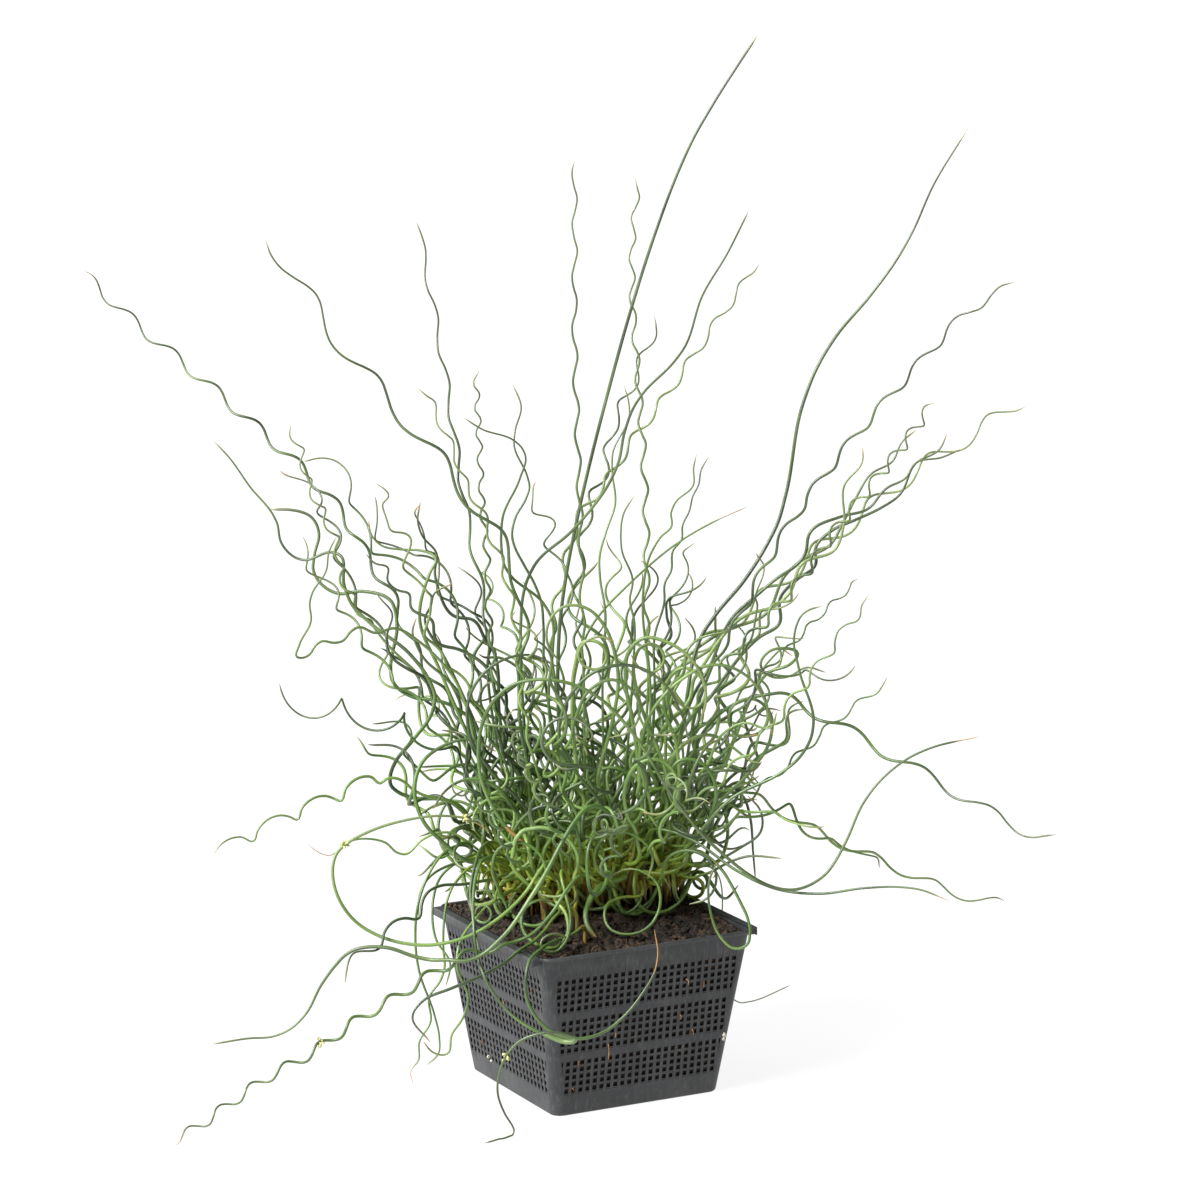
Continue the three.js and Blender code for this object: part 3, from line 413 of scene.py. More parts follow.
shell = leaning_block(FOOT_HALF, RIM_HALF, 0, SHELL_TOP, CORNER_RADIUS)
bmesh.ops.delete(shell, geom=level_faces(shell, SHELL_TOP), context="FACES_ONLY")
foot_edges = [e for e in sharp_edges(shell) if max(v.co.z for v in e.verts) < TINY]
round_off(shell, foot_edges, FOOT_RADIUS, 3)
for quarter in range(4):
    pierce_wall(shell, quarter)
pierce_floor(shell)
shell = thicken(shell, WALL, False)
join(shell, rolled_edge())
for side in (-1, 1):
    join(shell, carrying_grip(side))
finish_piece(shell, "basket_moulding", polypropylene, ["basket"], 30)

# ---- Soil -----------------------------------------------------------------------------------
# Damp peat that fills the basket to just under its rim and stands as a low mound where the root
# ball is. It is one crumbly body, with loose crumbs and root fibres lying on it.

SOIL_LEVEL = 117.5
MOUND_HEIGHT = 15.0
MOUND_CENTRE = (4.0, 26.0)  # across and deep, in the clump's own layout
MOUND_SPREAD = (74.0, 52.0)
CLUMP_TURN = math.radians(-28)
SOIL_GAP = 0.3
SOIL_FOOT = 2.3
SOIL_CELLS = 150
SOIL_RINGS = 12  # down its sides
SOIL_RIM = 0.04  # the outer part of its half width, over which the crumbs fade out
HANDFULS, HANDFUL = 30, 50  # of loose crumbs
LARGEST_CRUMB, SMALLEST_CRUMB = 3.6, 0.6


def to_basket(across, deep, up=0.0):
    """A place in the clump's own layout, turned to the basket's frame."""
    return Matrix.Rotation(CLUMP_TURN, 3, "Z") @ Vector((across, deep, up))


def soil_height(x, y):
    place = Matrix.Rotation(-CLUMP_TURN, 3, "Z") @ Vector((x, y, 0))
    along = (place.x - MOUND_CENTRE[0]) / MOUND_SPREAD[0]
    away = (place.y - MOUND_CENTRE[1]) / MOUND_SPREAD[1]
    return SOIL_LEVEL + MOUND_HEIGHT * math.exp(-along * along - away * away)


def crumble(x, y):
    """How far the soil's surface stands up or down here: clods of 12 mm down to 2 mm crumbs."""
    clods = noise.noise(Vector((x, y, 0)) / 12.0)
    lumps = abs(noise.noise(Vector((x + 31.0, y, 0)) / 5.0))
    grit = noise.noise(Vector((x, y + 57.0, 0)) / 2.2)
    return 4.0 * clods + 4.6 * lumps + 1.3 * grit - 1.9


def round_corner(x, y, half, radius):
    """Draws the corner of a square grid of half width in to a rounded one."""
    over_x = abs(x) - (half - radius)
    over_y = abs(y) - (half - radius)
    if over_x <= 0 or over_y <= 0:
        return x, y
    draw = max(over_x, over_y) / math.hypot(over_x, over_y)
    return (
        math.copysign(half - radius + over_x * draw, x),
        math.copysign(half - radius + over_y * draw, y),
    )


def soil_half(height):
    return wall_half(height) - WALL - SOIL_GAP


def grow_edge(mesh, edges):
    """Extrudes an open edge, and gives its new points and its new open edge."""
    grown = bmesh.ops.extrude_edge_only(mesh, edges=edges)["geom"]
    return only(bmesh.types.BMVert, grown), [e for e in only(bmesh.types.BMEdge, grown) if e.is_boundary]


def shift_at_random(points, most, dice):
    """Moves each point by up to this much along each axis."""
    for point in points:
        point.co += most * Vector([dice.uniform(-1, 1) for _ in range(3)])


peat, tree, place = new_material("damp_peat_soil")
clod = add_node(tree, "TexNoise", {
    "Vector": place, "Scale": 160.0, "Detail": 6.0, "Roughness": 0.7})  # 6 mm crumbs
brown = add_node(tree, "ValToRGB", {"Fac": clod}, [
    (0.34, "#0b0806"), (0.47, "#1a130c"), (0.58, "#3c2d20"), (0.72, "#6e573e")])
fleck = add_node(tree, "TexNoise", {
    "Vector": place, "Scale": 900.0, "Detail": 2.0})  # 1 mm flecks of bark and straw
fleck_mask = add_node(tree, "MapRange", {
    "Value": fleck, "From Min": 0.66, "From Max": 0.74, "To Max": 0.7})
flecked = add_node(tree, "MixRGB", {"Fac": fleck_mask, "Color1": brown, "Color2": paint("#6d533a")})
damp = add_node(tree, "MapRange", {
    "Value": clod, "From Min": 0.3, "From Max": 0.7, "To Min": 0.62, "To Max": 0.95})
relief = add_node(tree, "Bump", {"Height": clod, "Strength": 0.7, "Distance": 0.0012})
earth = add_node(tree, "BsdfPrincipled", {"Base Color": flecked, "Roughness": damp, "Normal": relief})
add_node(tree, "OutputMaterial", {"Surface": earth})

fill = bmesh.new()
top_half = soil_half(SOIL_LEVEL)
bmesh.ops.create_grid(fill, x_segments=SOIL_CELLS, y_segments=SOIL_CELLS, size=top_half)
for point in fill.verts:
    x, y = round_corner(point.co.x, point.co.y, top_half, CORNER_RADIUS - WALL)
    edge = max(abs(point.co.x), abs(point.co.y)) / top_half
    loose = 1.0 if edge < 1.0 - SOIL_RIM else (1.0 - edge) / SOIL_RIM
    point.co = (x, y, soil_height(x, y) + loose * crumble(x, y))
side = [e for e in fill.edges if e.is_boundary]
level = SOIL_LEVEL
for depth in range(SOIL_RINGS):
    ring, side = grow_edge(fill, side)
    lower = SOIL_LEVEL - (SOIL_LEVEL - SOIL_FOOT) * (depth + 1) / SOIL_RINGS
    shrink = soil_half(lower) / soil_half(level)
    for point in ring:
        point.co = (point.co.x * shrink, point.co.y * shrink, lower)
    level = lower
bmesh.ops.edgeloop_fill(fill, edges=side)
bmesh.ops.recalc_face_normals(fill, faces=fill.faces)
finish_piece(fill, "soil_body", peat, ["soil"], 180)

dice = random.Random(7)
crumbs = bmesh.new()
for _ in range(HANDFULS):
    handful = bmesh.new()
    for _ in range(HANDFUL):
        x, y = (dice.uniform(-1, 1) * (top_half - 2.5) for _ in range(2))
        size = min(LARGEST_CRUMB, SMALLEST_CRUMB + dice.expovariate(1.4))
        rise = soil_height(x, y) + crumble(x, y) + 0.15 * size
        turned = Matrix.Rotation(dice.uniform(0, math.tau), 4, "Z")
        tipped = Matrix.Rotation(dice.uniform(0, 1), 4, "X")
        squashed = Matrix.Diagonal((1.0, dice.uniform(0.6, 1.0), dice.uniform(0.5, 0.9), 1))
        lump = bmesh.ops.create_icosphere(
            handful, subdivisions=1, radius=size,
            matrix=Matrix.Translation((x, y, rise)) @ turned @ tipped @ squashed)["verts"]
        shift_at_random(lump, 0.18 * size, dice)
    join(crumbs, handful)
finish_piece(crumbs, "soil_crumbs", peat)

# ---- Culms ----------------------------------------------------------------------------------
# The rush has no leaves: each culm is one round, pithy green stem that grew coiled, from a brown
# sheathed foot in the soil to a fine tip. These are the long ones that stand clear of the clump.

CULM_STEP = 2.2
THREE_SIDED_REACH = 1.14  # the plain model's culms are three-sided, so their corners stand out more
ROOT_DEPTH = 10.0
LONG_CULM_FACETS = 9
LEAST_RADIUS, TAPER = 0.4, 0.52  # a real culm tapers less than the plain model's
FLOOR_GAP = 0.4
FOOT_POINTS = 14  # as much of a culm's path as a sheath may cover
STEM_SMOOTH_ANGLE = 80
DRY_TIPS = {  # millimetres of tan, dead tip
    "tan_tip": 26, "front_ring": 30, "front_crossing": 16, "left_low_wave": 22,
    "left_low_loop": 12, "left_hanging_hook": 14, "right_tall_arc": 9, "left_far_wavy": 8,
    "left_scalloped": 7, "right_low_sweep": 9, "front_left_trail": 8,
}
CULM_TONES = {  # added to the drift of their green: most of these are old and stand out as darker
    "tall_straight": -0.14, "right_tall_arc": -0.12, "left_far_wavy": -0.05, "left_high_wavy": -0.1,
    "left_thick": -0.02, "right_far_wavy": -0.1, "right_lean": -0.06, "front_thick_trail": 0.12,
}
THREAD_THIN = {"back_trailing": 0.6}  # this much of the thickness of the rest
GREEN_FEET = {"front_ring": 70.0}  # as green at its foot as others are this far up
SLACK_COILS = {"left_big_coil": 26}  # how often its bends are eased
FIRST_EASED = 8  # the first of its points that may move

standing = []  # the points and radii of the culms that are already in place


def ease(value, low, high):
    part = min(1.0, max(0.0, (value - low) / (high - low)))
    return part * part * (3 - 2 * part)


def smooth_path(points, radii, step):
    """A smooth line through points, with a point and a radius about every step."""
    tangents = []
    for before, point, after in zip([points[0], *points], points, [*points[1:], points[-1]]):
        gap_in = max((point - before).length, 0.01)
        gap_out = max((after - point).length, 0.01)
        run = (point - before) * gap_out / gap_in + (after - point) * gap_in / gap_out
        tangents.append(run.normalized())
    path, widths = [points[0]], [radii[0]]
    for i in range(len(points) - 1):
        start, end = points[i], points[i + 1]
        gap = (end - start).length
        count = max(2, round(gap / step) + 1)
        bend = interpolate_bezier(
            start, start + tangents[i] * gap / 3, end - tangents[i + 1] * gap / 3, end, count)
        path += bend[1:]
        widths += [radii[i] + (radii[i + 1] - radii[i]) * k / (count - 1) for k in range(1, count)]
    return path, widths


def ease_bends(path, first, times):
    """Rounds off a path's bends, but not its foot."""
    for _ in range(times):
        near = zip(path[first - 1:], path[first:], path[first + 1:])
        path[first:-1] = [(before + 2 * point + after) / 4 for before, point, after in near]


def grow_rod(path, radii, facets, tone, dry, start=-ROOT_DEPTH, end=0.0):
    """A round stem along a path. Each of its points knows its way round and how far it is from
    the root and from the tip, where the path starts and ends this far from them."""
    stem = bmesh.new()
    spoke = stem.verts.layers.float_vector.new("spoke")
    from_root = stem.verts.layers.float.new("from_root")
    to_tip = stem.verts.layers.float.new("to_tip")
    tone_of = stem.verts.layers.float.new("tone")
    dry_of = stem.verts.layers.float.new("dry")
    gaps = [(b - a).length for a, b in zip(path, path[1:])]
    whole = sum(gaps)
    heading = (path[1] - path[0]).normalized()
    stand = Matrix.Translation(path[0]) @ heading.to_track_quat("Z", "Y").to_matrix().to_4x4()
    ring = bmesh.ops.create_circle(stem, segments=facets, radius=radii[0], matrix=stand)["verts"]
    upright = stand.inverted()
    for point in ring:
        point[spoke] = (upright @ point.co).normalized()
        point[tone_of] = tone
        point[dry_of] = dry
        point[from_root] = start
        point[to_tip] = whole + end
    rim = stem.edges[:]
    bmesh.ops.edgeloop_fill(stem, edges=rim)
    along = 0.0
    for i in range(1, len(path)):
        ahead = (path[min(i + 1, len(path) - 1)] - path[i - 1]).normalized()
        turn = heading.rotation_difference(ahead).to_matrix().to_4x4()
        swell = Matrix.Scale(radii[i] / radii[i - 1], 4)
        move = Matrix.Translation(path[i]) @ turn @ swell @ Matrix.Translation(-path[i - 1])
        ring, rim = grow_edge(stem, rim)
        bmesh.ops.transform(stem, matrix=move, verts=ring)
        heading = ahead
        along += gaps[i - 1]
        for point in ring:
            point[from_root] = start + along
            point[to_tip] = whole - along + end
    bmesh.ops.edgeloop_fill(stem, edges=rim)
    bmesh.ops.recalc_face_normals(stem, faces=stem.faces)
    return stem


def centre_line(node):
    """The middle line of one of the plain model's culms, from root to tip, and its radius there."""
    body = bmesh.new()
    body.from_mesh(node.data)
    bmesh.ops.remove_doubles(body, verts=body.verts, dist=1e-6)
    body.verts.index_update()
    poles = [v for v in body.verts if len(v.link_edges) == 3]
    root = max(poles, key=lambda pole: pole.link_edges[0].calc_length())
    seen, ring = {root}, [root]
    points, radii = [], []
    while True:
        ring = sorted(
            {e.other_vert(v) for v in ring for e in v.link_edges} - seen, key=lambda v: v.index)
        if len(ring) < 3:
            break
        seen.update(ring)
        middle = sum((v.co for v in ring), Vector()) / len(ring)
        points.append(middle / MM)
        radii.append(sum((v.co - middle).length for v in ring) / len(ring) / MM / THREE_SIDED_REACH)
    body.free()
    return points, radii


# Living rush culm: a waxy, finely ribbed green skin, yellow-green where the light doesn't reach
# its foot, brown in the soil, greyer the further it has grown from the root, olive towards the
# tip and straw-coloured where the tip has dried. Its pale ribs are lightened to paint highlight
# streaks along it too.
rush, tree, place = new_material("waxy_ribbed_rush_culm")
from_root, to_tip, tone, dry = (
    add_node(tree, "Attribute", attribute_name=layer).outputs["Fac"]
    for layer in ("from_root", "to_tip", "tone", "dry"))
spoke = add_node(tree, "Attribute", attribute_name="spoke").outputs["Vector"]
foot_range = add_node(tree, "MapRange", {"Value": from_root, "From Min": 0.0, "From Max": 120.0})
foot_green = add_node(tree, "ValToRGB", {"Fac": foot_range}, [
    (0.0, "#5a411c"), (0.05, "#917828"), (0.13, "#b8a832"), (0.28, "#a8b434"), (0.52, "#7b962c"),
    (1.0, "#527323")])
drift = add_node(tree, "TexNoise", {
    "Vector": place, "Scale": 22.0, "Detail": 2.0})  # the green drifts over some 45 mm
shade = add_node(tree, "Math", {0: drift, 1: tone}, operation="ADD")
body_green = add_node(tree, "ValToRGB", {"Fac": shade}, [
    (0.3, "#213a0d"), (0.6, "#4b711f"), (0.95, "#7d9d48")])
grey_green = add_node(tree, "ValToRGB", {"Fac": shade}, [
    (0.3, "#232a12"), (0.6, "#4a522e"), (0.95, "#797f55")])
age_range = add_node(tree, "MapRange", {
    "Value": from_root, "From Min": 150.0, "From Max": 360.0, "To Max": 0.65})
body_skin = add_node(tree, "MixRGB", {"Fac": age_range, "Color1": body_green, "Color2": grey_green})
grown_range = add_node(tree, "MapRange", {"Value": from_root, "From Min": 45.0, "From Max": 125.0})
green = add_node(tree, "MixRGB", {"Fac": grown_range, "Color1": foot_green, "Color2": body_skin})
round_about = add_node(tree, "SeparateXYZ", {"Vector": spoke})
slow_length = add_node(tree, "Math", {0: from_root, 1: 0.01}, operation="MULTIPLY")
rib_place = add_node(tree, "CombineXYZ", {
    "X": round_about.outputs["X"], "Y": round_about.outputs["Y"], "Z": slow_length})
ribs = add_node(tree, "TexNoise", {
    "Vector": rib_place, "Scale": 3.0, "Detail": 1.0})  # 0.4 mm ribs, drawn full size
rib_and_highlight_mask = add_node(tree, "MapRange", {
    # Pale ribs: partly the culm's real ribs and partly painted highlight streaks along it.
    "Value": ribs, "From Min": 0.45, "From Max": 0.7, "To Max": 0.32})
ribbed_and_highlit = add_node(tree, "MixRGB", {"Fac": rib_and_highlight_mask, "Color1": green, "Color2": paint("#a3b38c")})
tip_range = add_node(tree, "MapRange", {
    "Value": to_tip, "From Min": 2.0, "From Max": 20.0, "To Min": 0.65, "To Max": 0.0})
olive = add_node(tree, "MixRGB", {"Fac": tip_range, "Color1": ribbed_and_highlit, "Color2": paint("#85855a")})
straw = add_node(tree, "ValToRGB", {"Fac": ribs}, [
    (0.3, "#86602f"), (0.55, "#b48a4c"), (0.75, "#ccaa70")])
dry_reach = add_node(tree, "Math", {0: to_tip, 1: dry}, operation="SUBTRACT")
dry_range = add_node(tree, "MapRange", {
    "Value": dry_reach, "From Min": -5.0, "From Max": 2.0, "To Min": 1.0, "To Max": 0.0})
skin = add_node(tree, "MixRGB", {"Fac": dry_range, "Color1": olive, "Color2": straw})
relief = add_node(tree, "Bump", {"Height": ribs, "Strength": 0.35, "Distance": 0.0002})
wax = add_node(tree, "MapRange", {
    "Value": ribs, "From Min": 0.3, "From Max": 0.7, "To Min": 0.32, "To Max": 0.46})
stem_skin = add_node(tree, "BsdfPrincipled", {
    "Base Color": skin, "Roughness": wax, "IOR": 1.5, "Specular IOR Level": 0.7, "Normal": relief})
add_node(tree, "OutputMaterial", {"Surface": stem_skin})


def shrivel(path, radii, dry):
    """Thins the dead end of a culm."""
    widths, left = [], sum((b - a).length for a, b in zip(path, path[1:]))
    for i, radius in enumerate(radii):
        widths.append(radius * (1 - 0.5 * ease(dry - left, -6, 4)))
        if i + 1 < len(path):
            left -= (path[i + 1] - path[i]).length
    return widths


def draw_to_point(radii):
    """Closes a culm's last few millimetres to a point."""
    return [*radii[:-3], radii[-3] * 0.85, radii[-2] * 0.65, radii[-1] * 0.35]


def finish_culm(stem, name, nodes=()):
    """Finishes a piece of green stems, alone or a tuft of them."""
    finish_piece(stem, name, rush, nodes, STEM_SMOOTH_ANGLE)


def take_place(path, radii):
    """Notes where a culm stands, for those that come after it and for its sheath."""
    standing.extend(zip(path, radii))
    feet.append((path[:FOOT_POINTS], radii[:FOOT_POINTS]))


long_culms = {}  # the paths and radii of these culms, for what grows on them
feet = []  # the foot of every culm's path, for the sheaths
dice = random.Random(23)
for node_name in sorted(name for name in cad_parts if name.startswith("culm_")):
    name = node_name.removeprefix("culm_")
    points, radii = centre_line(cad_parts[node_name])
    path, radii = smooth_path(points, [LEAST_RADIUS + TAPER * r for r in radii], CULM_STEP)
    ease_bends(path, FIRST_EASED, SLACK_COILS.get(name, 0))
    radii = [r * THREAD_THIN.get(name, 1.0) for r in radii]
    for point, radius in zip(path, radii):
        point.z = max(point.z, radius + FLOOR_GAP)
    take_place(path, radii)
    long_culms[name] = (path, radii)
    dry_tip = DRY_TIPS.get(name, dice.uniform(0, 5))
    tone = CULM_TONES.get(name, dice.uniform(-0.12, 0.35))
    radii = draw_to_point(shrivel(path, radii, dry_tip))
    start = GREEN_FEET.get(name, 0.0) - ROOT_DEPTH
    finish_culm(
        grow_rod(path, radii, LONG_CULM_FACETS, tone, dry_tip, start), "rush_" + name, [node_name])

# ---- Finer culms ----------------------------------------------------------------------------
# Thinner and shorter culms of the same plant that weave between the long ones. Each is laid out
# as listed waypoints from its root, and bends clear of whatever it would touch.

FINE_FACETS = 8
CLEARANCE = 0.3
CRUMB_CLEARANCE = 1.4  # over the soil
LONGEST_PUSH = 2.0
PUSH_SHARE = 0.7  # of what a culm is short of clear, so that it settles
PUSH_SPREAD = 6  # a push fades out over this many points
THICKEST = 2.2  # no culm's radius is larger
FIRST_FREE = 7  # the first of a culm's points that may be pushed
CLEAR_ENOUGH = 0.03
FINE_ROUNDS = 30
LOWEST = 2.0  # above the floor
BODY_TAPER = 0.3  # how much of the way to its tip's thickness the body of a culm gets
TIP_START = 0.7
FINE_TIP = 0.5  # added to every thickness at the tip
SWAY = 4.0  # of the free run between the soil and the first waypoint
SWAY_WAVES = (30, 44)
WAVY = {  # radius and length of the waves of those that are coiled all along
    "left_upper_a": (3.4, 40), "left_upper_b": (4.0, 44), "left_upper_c": (2.0, 30),
    "left_tan_tip": (3.6, 38), "left_down_wave": (3.2, 36), "left_upright_thin": (2.6, 33),
    "right_inner_zig": (3.4, 36), "right_inner_zig_b": (3.0, 34), "right_mid_wave": (3.6, 38),
    "right_mid_curl": (3.2, 36), "centre_upper_zigzag": (2.2, 30), "centre_right_tall": (3.0, 36),
    "right_low_tan": (3.0, 36), "right_low_coil_b": (3.6, 44), "left_low_hook": (3.0, 40),
}

UP = Vector((0, 0, 1))

